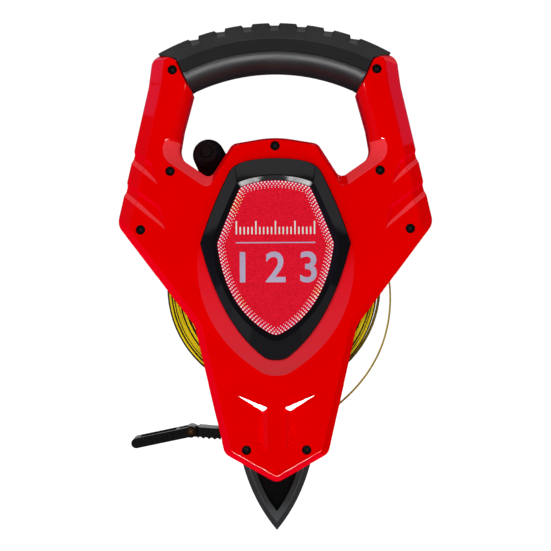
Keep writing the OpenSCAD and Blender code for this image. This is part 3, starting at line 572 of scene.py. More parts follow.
def frame_ring(share, extra):
    """Rows of (x, z, kind, sunk, tag, paint): the outline, moved inwards by bevel times share plus extra."""
    count = len(frame_corners)
    moved = []
    for i, c in enumerate(frame_corners):
        before = frame_corners[i - 1]
        n1 = left_of(before, c)
        n2 = left_of(c, frame_corners[(i + 1) % count])
        d1 = before.bevel * share + extra
        d2 = c.bevel * share + extra
        bend = n1[0] * n2[1] - n1[1] * n2[0]
        if c.way:
            inward = (math.copysign(SHOULDER_WAY[0], c.way[0]), SHOULDER_WAY[1])
            place = along(c, c.way, d2 / dot(c.way, inward))
        elif abs(bend) < NEAR_STRAIGHT:
            way = half_way(n1, n2)
            place = along(c, way, (d1 + d2) / 2 / dot(way, n1))
        else:
            place = (c.x + (d1 * n2[1] - d2 * n1[1]) / bend, c.z + (n1[0] * d2 - n2[0] * d1) / bend)
        radius = c.radius
        if radius > 0 and bend > 0:
            radius = max(LEAST_RADIUS, radius - (d1 + d2) / 2)
        moved.append((place, radius))
    rows = []
    for i, (place, radius) in enumerate(moved):
        c = frame_corners[i]
        kind_before = frame_corners[i - 1].kind
        if radius > 0:
            arc = corner_arc(moved[i - 1][0], place, moved[(i + 1) % count][0], radius, ROUND_STEPS)
            for k, p in enumerate(arc):
                rows.append((*p, mix_all(kind_before, c.kind, k / ROUND_STEPS), 0.0, None, c.paint))
        else:
            rows.append((*place, mix_all(kind_before, c.kind, 0.5), c.sunk, c.tag, c.paint))
    return rows


# Badge outlines: round flanks, bulging sides, round upper corners and an arched top
TIP_RISE = 2.0


def shield(low, low_half, flank, side, bulge, peak, cut_back, top_z):
    """The right half from the low tip up past flank and side to the corner at peak, and its mirror image."""
    start = along(peak, way_to(peak, side), cut_back)
    crest = (peak[0] * 0.5, top_z)
    end = along(peak, way_to(peak, crest), cut_back)
    middle = ((side[0] + start[0]) / 2, (side[1] + start[1]) / 2)
    tip_end = (low_half, low + TIP_RISE)
    tip_bend = (low_half - TIP_RISE * (flank[0] - low_half) / (flank[1] - tip_end[1]), low)
    return mirrored([
        *bezier((0.0, low), tip_bend, tip_end, 5), *bezier(tip_end, flank, side, 28)[1:],
        *bezier(side, along(middle, left_of(peak, side), 2 * bulge), start, 8)[1:],
        *bezier(start, peak, end, 6)[1:], *bezier(end, crest, (0.0, top_z), 8)[1:]
    ])


ring_line = shield(101.0, 7.4, (32.2, 122.1), (43.7, 168.6), 0.9, (25.6, 213.2), 6.0, 217.8)
plate_line = shield(115.8, 5.2, (29.4, 132.4), (33.6, 168.4), 0.3, (20.2, 200.9), 1.8, 204.7)
crescent_line = shield(92.1, 8.5, (50.0, 120.0), (44.9, 169.0), 0.9, (26.4, 214.1), 6.0, 218.6)

# Covers: bevelled rings from the parting plane out, and a face cut into triangles round its grooves and holes
FACE = 14.8
SIDE = 7.5
TALL_SIDE = 9.7
PLATFORM = 16.6
GROOVE_SUNK = 1.4
SCOOP_SUNK = 1.5
FOOT_SCREW = (17.4, 49.1)
SCREWS = [(s * x, z) for x, z in ((59.1, 269.2), (60.7, 210.6), (78.0, 176.8), FOOT_SCREW) for s in (-1, 1)]
SCREWS.append((0.0, 225.0))
HOLE_EDGE = 3.05
HOLE = 2.8
HOLE_CHAMFER = 0.02
HOLE_DEPTH = 2.9
HOLE_COUNT = 28
SCOOP_RIM = ((5.3, 49.0), (5.3, 73.5), (22.3, 80.7), (17.8, 54.8))
SCOOP_FLOOR = ((7.6, 51.1), (7.9, 71.5))
BACK = 12.8
REAR_RIM = 8.8
REAR_BEVEL = 3.4
DOME_R = 27.0
DOME_FOOT = DOME_R + 0.7
DOME_TOP = 20.3
DOME_COUNT = 96
AXIS_Z = 144.0
BUSH_R = 11.0
BUSH_DEPTH = 4.0
PARTING_EDGE = ((0.3, 0.06), (0.0, 0.4))
CREASE = 1.7
REAR_CREASE = 1.5
WALL_LEVELS = 3
FACE_LEVELS = 3
COVER_SHARP = 17.0
FLAT_LIMIT = 0.985
GROOVE_WALL_LIMIT = 0.1


def rounded_rise(share, base, rise, blend=0.12):
    """Height of a bevel that rises over share 0 to 1, with a soft crease at its top."""
    if share > 1 + blend:
        return base + rise
    height = base + rise * share
    if share > 1 - blend:
        height -= rise * (share - 1 + blend) ** 2 / (4 * blend)
    return height


def rise_from(side):
    """Shares and heights of a bevel from its lower crease, at the given side height, to the face."""
    drop = FACE - side
    rows = bezier((0.0, SIDE - CREASE), (0.0, side), (0.16, side + 0.16 * drop), 4)[1:]
    shares = (0.28, 0.42, 0.56, 0.7, 0.8, 0.88, 0.94, 1.0, 1.06, 1.12)
    return rows + [(share, rounded_rise(share, side, drop)) for share in shares]


def front_levels():
    """Rows of (share, extra, heights); a height each for plain, soft and tall edges."""
    levels = [(0.0, extra, (height,) * 3) for extra, height in (*PARTING_EDGE, (0.0, SIDE - CREASE))]
    for (share, plain), (_, tall) in zip(rise_from(SIDE), rise_from(TALL_SIDE)):
        left = max(0.0, 1 - share)
        soft = SIDE + (FACE - SIDE) * math.sqrt(1 - left ** 2)
        levels.append((share, 0.0, (plain, soft, tall)))
    return levels


def rear_levels():
    drop = BACK - REAR_RIM
    low = (0.0, REAR_RIM - REAR_CREASE)
    rise = bezier(low, (0.0, REAR_RIM), (0.3, REAR_RIM + 0.3 * drop), 4)[1:]
    for share in (0.5, 0.7, 0.82, 0.91, 1.0, 1.09, 1.18):
        rise.append((share, rounded_rise(share, REAR_RIM, drop, 0.18)))
    rows = [*PARTING_EDGE, low, *((share * REAR_BEVEL, height) for share, height in rise)]
    return [(0.0, extra, (height,) * 3) for extra, height in rows]


class CoverMesh:
    """The skin of one cover. Heights are outward from the parting plane; side is the sign of Y outward."""

    def __init__(self, side):
        self.side = side
        self.points = []
        self.faces = []
        self.paints = []

    def put(self, face, paint=PLAIN_PAINT):
        self.faces.append(face)
        self.paints.append(paint)

    def add(self, x, z, height):
        self.points.append((x, self.side * height, z))
        return len(self.points) - 1

    def add_loop(self, outline, height):
        return [self.add(x, z, height) for x, z in outline]

    def join(self, first, second, paints=None):
        for i, ((a, b), (c, d)) in enumerate(zip(sides(first), sides(second))):
            self.put((a, b, d, c), paints[i] if paints else PLAIN_PAINT)

    def turn(self, x, z, profile, count):
        """A turned feature from rows of (radius, height); its rim is given as a loop and as an outline."""
        levels = [self.add_loop(circle(x, z, r, count), height) for r, height in profile]
        self.cap(levels)
        return levels[0], circle(x, z, profile[0][0], count)

    def cap(self, levels, paints=None):
        """Joins loops one after the other and closes the last."""
        for first, second in zip(levels, levels[1:]):
            self.join(first, second, paints)
        self.put(tuple(levels[-1]))

    def fill(self, loops, lines, holes):
        """Triangles inside the first loop and outside the holes. Loops and lines list point indices."""
        used = sorted({i for chain in [*loops, *lines] for i in chain})
        local = {index: k for k, index in enumerate(used)}
        flat = [Vector((self.points[i][0], self.points[i][2])) for i in used]
        edges = []
        for loop in loops:
            edges += [(local[a], local[b]) for a, b in sides(loop)]
        for line in lines:
            edges += [(local[a], local[b]) for a, b in zip(line, line[1:])]
        verts, _, triangles, origins, _, _ = delaunay_2d_cdt(flat, edges, [], 0, 1e-5)
        border = [tuple(flat[local[i]]) for i in loops[0]]
        for triangle in triangles:
            middle = tuple(sum((verts[i] for i in triangle), Vector((0.0, 0.0))) / 3)
            if not inside(middle, border) or any(inside(middle, hole) for hole in holes):
                continue
            self.put(tuple(used[origins[i][0]] for i in triangle))


def groove_lines(skin, tags, face):
    """For each groove, the line of its mouth and the line of its floor between the rim's corners."""
    lines = []
    for number in range(2 * len(GROOVES)):
        low, high, low_length, high_length = GROOVES[number % len(GROOVES)]
        flip = 1 if number < len(GROOVES) else -1
        floor = face - GROOVE_SUNK

        def tip(z, way, length, height):
            x, z = along(on_shoulder(z), way, length)
            return skin.add(flip * x, z, height)

        mouth = [tip(low, GROOVE_LOW_WAY, low_length, face), tip(high, GROOVE_HIGH_WAY, high_length, face)]
        bed = [
            tip(low + BED_RISE, GROOVE_LOW_WAY, low_length - BED_BACK, floor),
            tip(high - GROOVE_LIP, GROOVE_HIGH_WAY, high_length - BED_FRONT, floor)
        ]
        lines.append([tags[number, 0], *mouth, tags[number, 3]])
        lines.append([tags[number, 1], *bed, tags[number, 2]])
    return lines


def build_cover(name, side, levels, face, add_features):
    skin = CoverMesh(side)
    rings = []
    for number, (share, extra, (plain, soft, tall)) in enumerate(levels):
        sink = 0.0 if number < WALL_LEVELS else GROOVE_SUNK * (0.5 if number == WALL_LEVELS else 1.0)
        ring = []
        tags = {}
        paints = []
        for x, z, kind, sunk, tag, paint in frame_ring(share, extra):
            paints.append(paint if side < 0 else PLAIN_PAINT)
            height = plain + (soft - plain) * kind[0] + (tall - plain) * kind[1]
            ring.append(skin.add(x, z, height - sunk * sink))
            if tag:
                tags[tag] = ring[-1]
        rings.append(ring)
    for number, (first, second) in enumerate(zip(rings, rings[1:])):
        skin.join(first, second, paints if WALL_LEVELS <= number < len(rings) - FACE_LEVELS else None)
    skin.fill([rings[0]], [], [])
    lines = groove_lines(skin, tags, face)
    mouths = [[(skin.points[i][0], skin.points[i][2]) for i in line] for line in lines[::2]]
    loops, creases, holes = add_features(skin)
    skin.fill([rings[-1], *loops], lines + creases, holes)
    made = make(name, skin.points, skin.faces, red_shell, COVER_SHARP)
    add_paints(made, *RED_PAINTS[1:])
    for polygon, paint in zip(made.data.polygons, skin.paints):
        polygon.material_index = paint
        place = (polygon.center.x / MM, polygon.center.z / MM)
        tilt = polygon.normal.z
        # Groove walls on the front take painted sheen where they face up and painted light where they face
        # down
        if side < 0 and abs(tilt) > GROOVE_WALL_LIMIT and any(inside(place, mouth) for mouth in mouths):
            polygon.material_index = SHEEN_PAINT if tilt > 0 else PAINTED_LIGHT
        elif paint == PLAIN_PAINT and abs(polygon.normal.y) > FLAT_LIMIT:
            polygon.material_index = FLAT_PAINT
    return made


def front_features(skin):
    """Loops, creases and holes of the screws, the two scoops over the foot and the badge's raised seat."""
    creases = []
    screw_hole = ((HOLE_EDGE, FACE), (HOLE, FACE - HOLE_CHAMFER), (HOLE, FACE - HOLE_DEPTH))
    turned = [skin.turn(x, z, screw_hole, HOLE_COUNT) for x, z in SCREWS]
    loops = [loop for loop, hole in turned]
    holes = [hole for loop, hole in turned]
    for s in (-1, 1):
        rim = [skin.add(s * x, z, FACE) for x, z in SCOOP_RIM]
        floor = [skin.add(s * x, z, FACE - SCOOP_SUNK) for x, z in SCOOP_FLOOR]
        loops.append(rim)
        creases += [[rim[0], *floor, rim[1]], [floor[0], rim[3]], [floor[1], rim[2]]]
    levels = []
    for share, height in ((0.0, FACE), (0.9, PLATFORM - 0.1), (1.0, PLATFORM)):
        levels.append(skin.add_loop(between(crescent_line, ring_line, share), height))
    # The crescent band takes its painted sheen and shade
    skin.cap(levels, [BAND_SHEEN_AND_SHADE] * len(crescent_line))
    loops.append(levels[0])
    holes.append(crescent_line)
    return loops, creases, holes


def rear_features(skin):
    """The same for the bearing dome with the bore of its bush."""
    profile = [
        (DOME_FOOT, BACK), (DOME_R + 0.2, BACK + 0.15), (DOME_R, BACK + 0.6), (DOME_R, BACK + 1.2),
        (DOME_R - 0.3, BACK + 1.8), (DOME_R - 4.9, DOME_TOP - 0.9), (DOME_R - 5.5, DOME_TOP - 0.25),
        (DOME_R - 6.3, DOME_TOP), (BUSH_R + 0.4, DOME_TOP), (BUSH_R + 0.05, DOME_TOP - 0.35),
        (BUSH_R + 0.05, BUSH_DEPTH)
    ]
    loop, hole = skin.turn(0.0, AXIS_Z, profile, DOME_COUNT)
    return [loop], [], [hole]


# Room for the reel, the mouth that the tape and the hook pass through, and the seat of the spike
ROOM_R = 70.0
ROOM_HALF = 9.3
MOUTH_LOW = 52.9
spike_right = bezier((0.0, 0.0), (14.2, 16.8), (20.3, 40.5), 24)
spike_seat = mirrored([*spike_right, (24.4, 48.5), (24.4, 52.5), (0.0, 52.5)])
cover_cuts = (
    slab("room_cut", circle(0.0, AXIS_Z, ROOM_R, 160), ROOM_HALF, red_shell),
    slab("mouth_cut", box(-ROOM_R, MOUTH_LOW, ROOM_R, 92.0), 7.2, red_shell),
    slab("hook_cut", box(-ROOM_R, MOUTH_LOW, 0.0, 66.0), 8.0, red_shell),
    slab("spike_cut", inset(spike_seat, -0.2), 4.05, red_shell),
)

front = build_cover("front_cover_skin", -1, front_levels(), FACE, front_features)
rear = build_cover("rear_cover_skin", 1, rear_levels(), BACK, rear_features)
carve((front, rear), cover_cuts, COVER_SHARP)
for cover, node in ((front, "front_cover"), (rear, "rear_cover")):
    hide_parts(node)
    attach(cover, "frame")

# Badge: a ring with a long outer slope, a ridge and an inner bevel, and the foil plate inside it
RIDGE = 19.6
PLATE = 17.4
ridge_line = inset(plate_line, -2.9)
outer_line = inset(ring_line, 0.2)
slope = (
    (0.0, PLATFORM), (0.0, PLATFORM + 0.9), (0.03, PLATFORM + 1.3), (0.1, PLATFORM + 1.55),
    (0.94, RIDGE - 0.06), (1.0, RIDGE - 0.02)
)
inner_bevel = ((-2.6, RIDGE - 0.2), (-0.3, PLATE + 0.2), (-0.05, PLATE - 0.3), (-0.05, PLATFORM))
badge_levels = [(between(outer_line, ridge_line, share), -height) for share, height in slope]
badge_levels += [(inset(plate_line, distance), -height) for distance, height in inner_bevel]
badge_points = [(x, y, z) for outline, y in badge_levels for x, z in outline]
badge_count = len(ring_line)
badge_starts = list(range(0, len(badge_points), badge_count))
badge_faces = [face for a, b in sides(badge_starts) for face in strips(badge_count, a, b)]
badge = make("badge_ring_skin", badge_points, badge_faces, black_gloss, 24.0)
weigh_normals(badge)
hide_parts("badge_ring")
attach(badge, "frame")

plate = loft("badge_plate_skin", [(plate_line, -PLATFORM), (plate_line, -PLATE)], badge_foil)
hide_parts("badge_plate")
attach(plate, "frame")

# A plain printed scale on the plate: ticks, a line and numbers, within a border of dots
PRINT = 0.04
DOT_ROWS = ((0.6, 0.53), (1.8, 0.45), (2.95, 0.35), (3.95, 0.26))
DOT_PITCH = 2.0
DOT_SIDES = 8
TICK_PITCH = 2.25
TICK_HALF = 0.4
TICK_FOOT = 173.8
TICK_TOPS = (181.4, 178.0, 178.0, 178.0, 178.0)
NUMBER_SIZE = 24.5
NUMBER_SWELL = 0.4
NUMBER_FOOT = 146.5


def printed(name, outlines, material):
    points = []
    faces = []
    for outline in outlines:
        faces += tube(len(outline), 2, len(points))
        points += [(x, y, z) for y in (-PLATE, -PLATE - PRINT) for x, z in outline]
    made = make(name, points, faces, material)
    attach(made, "frame")


def gap_to(p, line):
    """The distance from a point to a closed line."""
    least = math.inf
    for a, b in sides(line):
        run = step(a, b)
        t = dot(step(a, p), run) / max(dot(run, run), 1e-9)
        least = min(least, math.dist(p, mix_all(a, b, max(0.0, min(1.0, t)))))
    return least


def border_dots():
    """Rows of discs along the plate's edge that shrink inwards."""
    discs = []
    for row, (depth, size) in enumerate(DOT_ROWS):
        line = [p for p in inset(plate_line, depth) if gap_to(p, plate_line) > depth - 0.05]
        count = round(length_of(sides(line)) / DOT_PITCH)
        spaced = respaced(line + line[:1], 2 * count + 1)
        discs += [circle(x, z, size, DOT_SIDES) for x, z in spaced[row % 2:-1:2]]
    return discs


def tick(number):
    x = TICK_PITCH * number
    return box(x - TICK_HALF, TICK_FOOT, x + TICK_HALF, TICK_TOPS[number % len(TICK_TOPS)])


printed("badge_dots", border_dots(), print_silver)
printed("badge_ticks", [tick(number) for number in range(-10, 11)], print_white)
printed("badge_line", [box(-22.7, 168.6, 22.9, 169.3)], print_lilac)
words = bpy.data.curves.new("badge_numbers", "FONT")
words.body = "1 2 3"
words.align_x = "CENTER"
words.size = NUMBER_SIZE * MM
words.extrude = PRINT * MM / 2
words.offset = NUMBER_SWELL * MM
letters = link("badge_numbers_line", words)
letters.rotation_euler = (math.pi / 2, 0.0, 0.0)
letters.location = Vector((0.0, -PLATE - PRINT / 2, NUMBER_FOOT)) * MM
numbers_mesh = evaluated_mesh(letters)
numbers_mesh.transform(letters.matrix_world)
bpy.data.objects.remove(letters)
numbers = link("badge_numbers", numbers_mesh)
numbers_mesh.materials.clear()
add_paints(numbers, print_lilac)
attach(numbers, "frame")

# Grip: a rubber section swept round the handle's arc, with notches across its top and a bead at each end
GRIP_Z = 157.5
GRIP_R = 126.2
GRIP_TOP = 139.6
GRIP_LOW = 111.4
GRIP_END = 25.15
SEAM_R = 121.8
SEAM_Y = 15.6
FACET_R = 129.0
FACET_Y = 16.0
TOP_Y = 10.2
NOTCH_PITCH = 6.6
NOTCH_HALF = 1.34
NOTCH_WALL = 0.35
NOTCH_DEPTH = 1.3
NOTCH_LEAN = 0.23
NOTCH_REACH = 135.8
BEAD_WIDTH = 0.7
BEAD_RISE = 0.2
END_TURN = 0.15
END_GAP = -0.25
ARM_TOP_SLOPE = 0.275
LIP_STEPS = (0.35, 0.9, 1.6, 2.3, 3.0, 3.6, 3.9)
NOTCHES_EACH_SIDE = 3
NOTCH_FLOOR = 0.45
NOTCH_CLEAR = 0.12
NOTCH_PINCH = 0.08
NOTCH_PAINT_R = NOTCH_REACH - 0.5
NOTCH_PAINT_Y = TOP_Y * 0.7
STRETCH_START = NOTCH_PITCH * 3.4
PLAIN_STATIONS = 56
BELLY_STEPS = 18
SECTION_STEP = 1.4
NOTCH_PAINT = 2


def grip_section():
    """Rows of (radius, y): a round belly, a seam, a flat side, a sloping facet and a flat top."""
    half = []
    for i in range(BELLY_STEPS + 1):
        t = math.radians(90 * i / BELLY_STEPS)
        half.append((SEAM_R - (SEAM_R - GRIP_LOW) * math.cos(t), SEAM_Y * math.sin(t) ** 0.9))
    half += [(SEAM_R + 0.05, SEAM_Y - 0.4), (SEAM_R + 0.3, SEAM_Y - 0.4), (SEAM_R + 0.45, FACET_Y - 0.1)]
    half += corner_arc((SEAM_R, FACET_Y), (FACET_R, FACET_Y), (GRIP_TOP, TOP_Y), 1.5, 5)
    half += corner_arc((FACET_R, FACET_Y), (GRIP_TOP, TOP_Y), (GRIP_TOP, 0.0), 2.5, 6)
    half.append((GRIP_TOP, 0.0))
    rows = half + [(r, -y) for r, y in reversed(half[1:-1])]
    dense = []
    for a, b in sides(rows):
        pieces = max(1, round(math.dist(a, b) / SECTION_STEP))
        dense += [mix_all(a, b, k / pieces) for k in range(pieces)]
    return dense


def end_angle(r):
    """The angle at which a circle of the grip meets the arm's inner edge, less a small gap."""
    way = way_to(*ARM_EDGE)
    x, z = along(ARM_EDGE[0], left_of(*ARM_EDGE), END_GAP)
    rel = (x, z - GRIP_Z)
    b = dot(rel, way)
    reach = math.sqrt(b * b - dot(rel, rel) + r * r) - b
    return math.degrees(math.asin((x + way[0] * reach) / r))


def grip_stations():
    """Rows of (angle, kind, notch depth) along the grip."""
    limit = GRIP_END - BEAD_WIDTH - END_TURN
    inner = NOTCH_HALF - NOTCH_WALL
    steps = [2 * limit * i / PLAIN_STATIONS for i in range(PLAIN_STATIONS + 1)]
    places = {round(-limit + distance, 3): ("plain", 0.0) for distance in steps}
    for k in range(-NOTCHES_EACH_SIDE, NOTCHES_EACH_SIDE + 1):
        middle = k * NOTCH_PITCH
        places = {a: row for a, row in places.items() if abs(a - middle) > NOTCH_HALF + NOTCH_CLEAR}
        for offset in (-inner, -NOTCH_FLOOR, NOTCH_FLOOR, inner):
            places[middle + offset] = ("notch", NOTCH_DEPTH - NOTCH_LEAN * k * offset / NOTCH_HALF)
        for offset in (-NOTCH_HALF, NOTCH_HALF):
            places[middle + offset] = ("plain", 0.0)
    for s in (-1, 1):
        for back in (BEAD_WIDTH, BEAD_WIDTH / 2, END_TURN):
            places[s * (GRIP_END - back)] = ("bead", 0.0)
        places[s * GRIP_END] = ("end", 0.0)
        for past in LIP_STEPS:
            places[s * (GRIP_END + past)] = ("lip", 0.0)
    return [(angle, *places[angle]) for angle in sorted(places)]


def over_arm(angle, r, y):
    """A section point of the lip, lifted onto the arm's top and kept behind the facet."""
    a = math.radians(angle)
    x, z = ARM_EDGE[1]
    rise = z + END_GAP - GRIP_Z - ARM_TOP_SLOPE * x
    floor = rise / (math.cos(a) - ARM_TOP_SLOPE * math.sin(abs(a)))
    r = max(r, floor)
    room = mix(FACET_Y, TOP_Y, (r - FACET_R) / (GRIP_TOP - FACET_R))
    return r, math.copysign(min(abs(y), room), y)


def grip_point(angle, kind, depth, r, y):
    if kind == "notch" and r > NOTCH_REACH:
        share = (r - NOTCH_REACH) / (GRIP_TOP - NOTCH_REACH)
        r -= depth * share
        y *= 1 - NOTCH_PINCH * min(1.0, 3 * share)
    if kind == "bead":
        size = math.hypot(r - GRIP_R, y)
        y += y / size * BEAD_RISE
        r += min(0.0, r - GRIP_R) / size * BEAD_RISE
    if kind == "lip":
        r, y = over_arm(angle, r, y)
    elif abs(angle) > STRETCH_START:
        share = (abs(angle) - STRETCH_START) / (GRIP_END - STRETCH_START)
        angle = math.copysign(mix(STRETCH_START, end_angle(r), share), angle)
    a = math.radians(angle)
    return (r * math.sin(a), y, GRIP_Z + r * math.cos(a))


section = grip_section()
stations = grip_stations()
grip_points = [grip_point(*station, r, y) for station in stations for r, y in section]
grip_count = len(section)
grip = make("grip_sleeve_skin", grip_points, tube(grip_count, len(stations)), grip_matte, 32.0)


def reach_of(centre):
    return math.hypot(centre.x, centre.z - GRIP_Z)


paint_faces(grip, grip_satin, lambda centre, normal: reach_of(centre) < SEAM_R + 0.2)
add_paints(grip, grip_notch)
# Painted light: the upward facet takes the lighter rubber
paint_faces(grip, grip_upper_painted_light, lambda centre, normal: reach_of(centre) > FACET_R)
for k, (first, second) in enumerate(zip(stations, stations[1:])):
    if first[1] == second[1] == "notch":
        for i, (r, y) in enumerate(section):
            if r > NOTCH_PAINT_R and abs(y) > NOTCH_PAINT_Y:
                grip.data.polygons[k * grip_count + i].material_index = NOTCH_PAINT
weigh_normals(grip)
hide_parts("grip_sleeve")
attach(grip, "frame")

# Spike: two curved edges, a bevel band, a flat band and a dark pocket on each face; the flat band has a
# painted sheen towards the tip, its crease a painted highlight, and the pocket painted shade
SPIKE_HALF = 4.0
SPIKE_STEPS = ((3.7, SPIKE_HALF), (3.1, SPIKE_HALF - 0.12), (0.3, 1.3), (0.0, 1.0))
SPIKE_FOOT = ((24.2, 48.4), (24.2, 52.2), (0.0, 52.2))
SPIKE_SHARP = 20.0
SPIKE_FACE_LIMIT = 0.99
POCKET_DEPTH = 2.2
POCKET_OUT = 6.0
SPIKE_HOLE = 3.4
HOLE_OUT = 9.0
EDGE_PAINT = 1
spike_line = mirrored([*spike_right, *SPIKE_FOOT])
pocket_line = mirrored([*bezier((0.0, 11.6), (8.6, 22.6), (13.0, 38.5), 12), (0.0, 38.5)])


def spike_level(width, y):
    """The outline at one depth: below the foot it is moved inwards and ends in a point on the middle line."""
    count = len(spike_right)
    moved = inset(spike_line, width)[:count]
    edge = [p for p in moved if p[0] > NEAR_AXIS]
    a, b = edge[0], edge[1]
    point = (0.0, max(0.0, a[1] - a[0] * (b[1] - a[1]) / (b[0] - a[0])))
    return (mirrored([*respaced([point, *edge], count), *SPIKE_FOOT]), y)


spike_levels = [spike_level(width, -y) for width, y in SPIKE_STEPS]
spike_levels += [spike_level(width, y) for width, y in reversed(SPIKE_STEPS)]
spike = loft("ground_spike_skin", spike_levels, spike_plastic, SPIKE_SHARP)
add_paints(spike, spike_edge_highlight)
# The flat faces take the painted sheen
paint_faces(spike, spike_face_sheen, lambda centre, normal: abs(normal.y) > SPIKE_FACE_LIMIT)
# The narrow bands at the crease take the painted highlight
for k in (0, len(spike_levels) - 2):
    for i in range(len(spike_line)):
        spike.data.polygons[k * len(spike_line) + i].material_index = EDGE_PAINT
spike_cuts = []
for s in (-1, 1):
    depths = (s * POCKET_OUT, s * (SPIKE_HALF - POCKET_DEPTH))
    # The pockets take the painted shade from their cutters
    spike_cuts.append(loft("pocket_cut", [(pocket_line, y) for y in depths], spike_pocket_shade))
for s in (-1, 1):
    rim = circle(s * FOOT_SCREW[0], FOOT_SCREW[1], SPIKE_HOLE, 64)
    spike_cuts.append(slab("hole_cut", rim, HOLE_OUT, spike_plastic))
carve((spike,), spike_cuts, SPIKE_SHARP)
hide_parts("ground_spike")
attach(spike, "frame")

# Tape: the winding as one long spiral, and the free strip that loops round to the hook
TAPE_W = 13.0
TAPE_T = 0.45
EYE = (0.0, 150.0)
EYE_DISTANCE = 700.0
TAPE_EDGE_LIMIT = 0.7


def strip_mesh(name, path, edge_material, sway=lambda i: 0.0, lean=lambda p: 0.0):
    """A tape along a path. It sways along Y, and leans so that its edges partly follow the lines of sight."""
    points = []
    for i, p in enumerate(path):
        n = left_of(path[max(i - 1, 0)], path[min(i + 1, len(path) - 1)])
        for side, edge in ((1, -1), (1, 1), (-1, 1), (-1, -1)):
            q = along(p, n, side * TAPE_T / 2)
            y = edge * TAPE_W / 2 + sway(i)
            q = along(q, step(EYE, q), lean(p) * y / EYE_DISTANCE)
            points.append((q[0], y, q[1]))
    made = make(name, points, tube(4, len(path)), tape_face, 40.0)
    paint_faces(made, edge_material, lambda centre, normal: abs(normal.y) > TAPE_EDGE_LIMIT)
    return made


TURN_STEPS = 80
WIND_IN = 20.4
WIND_OUT = 62.55
LOOSE_TURNS = 1.7
LOOSE_GAP = 1.25
WIDE_GAP = 1.0
WIDE_EVERY = 5
CLOSE_GAP = 0.5
OFF_CENTRE = 1.2
SAG_STEP = 0.75
HANG = math.radians(205)
WIND_START = 68.0
WAVE = 0.12
WAVE_DRIFT = 1.7
SWAY = 0.22
SWAY_DRIFT = 2.9
# Turns, counted from the outside, whose edges take painted shade
SHADED_TURNS = (0, 1, 4, 6, 11, 15, 20, 25)
TURN_SHADE_PAINT = 2


def turn_gap(turn):
    """Spacing of the turns, counted from the outside: the first hang loose, then every fifth leaves a gap."""
    if turn < LOOSE_TURNS:
        return LOOSE_GAP
    return WIDE_GAP if turn % WIDE_EVERY < 1 else CLOSE_GAP


def sag(turn, radius):
    """How far a turn hangs down to the left: most under the loose turns, and not at all on the drum."""
    if turn < LOOSE_TURNS:
        return OFF_CENTRE + SAG_STEP * turn
    tight = WIND_OUT - LOOSE_GAP * LOOSE_TURNS - WIND_IN
    return (OFF_CENTRE + SAG_STEP * LOOSE_TURNS) * (radius - WIND_IN) / tight


outer_first = []
radius = WIND_OUT
while radius > WIND_IN:
    turn = len(outer_first) / TURN_STEPS
    angle = math.radians(WIND_START - 360 * turn)
    loose = WAVE * math.sin(2.0 * angle - turn * WAVE_DRIFT) * min(1.0, turn / 2)
    reach = radius + loose + sag(turn, radius) * math.cos(angle - HANG)
    outer_first.append((reach * math.cos(angle), AXIS_Z + reach * math.sin(angle)))
    radius -= turn_gap(turn) / TURN_STEPS
winding_path = outer_first[::-1]
# The winding's edges take the brighter yellow of painted light
winding = strip_mesh(
    "tape_winding", winding_path, tape_edge_painted_light, sway=lambda i: SWAY * math.sin(i / TURN_STEPS * SWAY_DRIFT))
add_paints(winding, tape_painted_shade)
# Painted shade: the edges of some turns are dark brown, as shadowed gaps between groups of turns
for polygon in winding.data.polygons:
    turn = (len(winding_path) - 1 - polygon.vertices[0] // 4) // TURN_STEPS
    if polygon.material_index == EDGE_PAINT and turn in SHADED_TURNS:
        polygon.material_index = TURN_SHADE_PAINT
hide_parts("tape_core", "tape_turns")
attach(winding, "reel")

route = [
    (22, 204.2), (34.1, 198.6), (44.9, 190.7), (54.1, 180.7), (60.8, 168.6), (65.2, 155.6), (67.2, 144),
    (67.4, 132), (65.8, 120), (62.3, 108), (56.6, 96.5), (48.9, 85.8), (39.4, 76.2), (30, 69), (20, 63.2),
    (10, 59), (0, 56.6), (-10, 55.7), (-20, 56.2), (-28, 56.9), (-34.5, 57.5)
]
ROUTE_STEPS = 8
LEAN_START = 5.0
LEAN_RUN = 50.0
LEAN_MOST = 0.5


def smooth(i, t):
    a, b = route[max(i - 1, 0)], route[i]
    c, d = route[i + 1], route[min(i + 2, len(route) - 1)]
    return tuple(
        0.5 * (2 * b[k] + (c[k] - a[k]) * t + (2 * a[k] - 5 * b[k] + 4 * c[k] - d[k]) * t ** 2
               + (3 * b[k] - a[k] - 3 * c[k] + d[k]) * t ** 3) for k in (0, 1))


def lead_lean(p):
    return min(LEAN_MOST, max(0.0, (p[0] - LEAN_START) / LEAN_RUN))


lead_path = [smooth(i, k / ROUTE_STEPS) for i in range(len(route) - 1) for k in range(ROUTE_STEPS)]
lead_path.append(route[-1])
# The free tape's edges take the brown painted shade
lead = strip_mesh("free_tape", lead_path, lead_edge_painted_shade, lean=lead_lean)
lead_length = length_of(zip(lead_path, lead_path[1:])) * MM
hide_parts("tape_lead")
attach(lead, "frame")

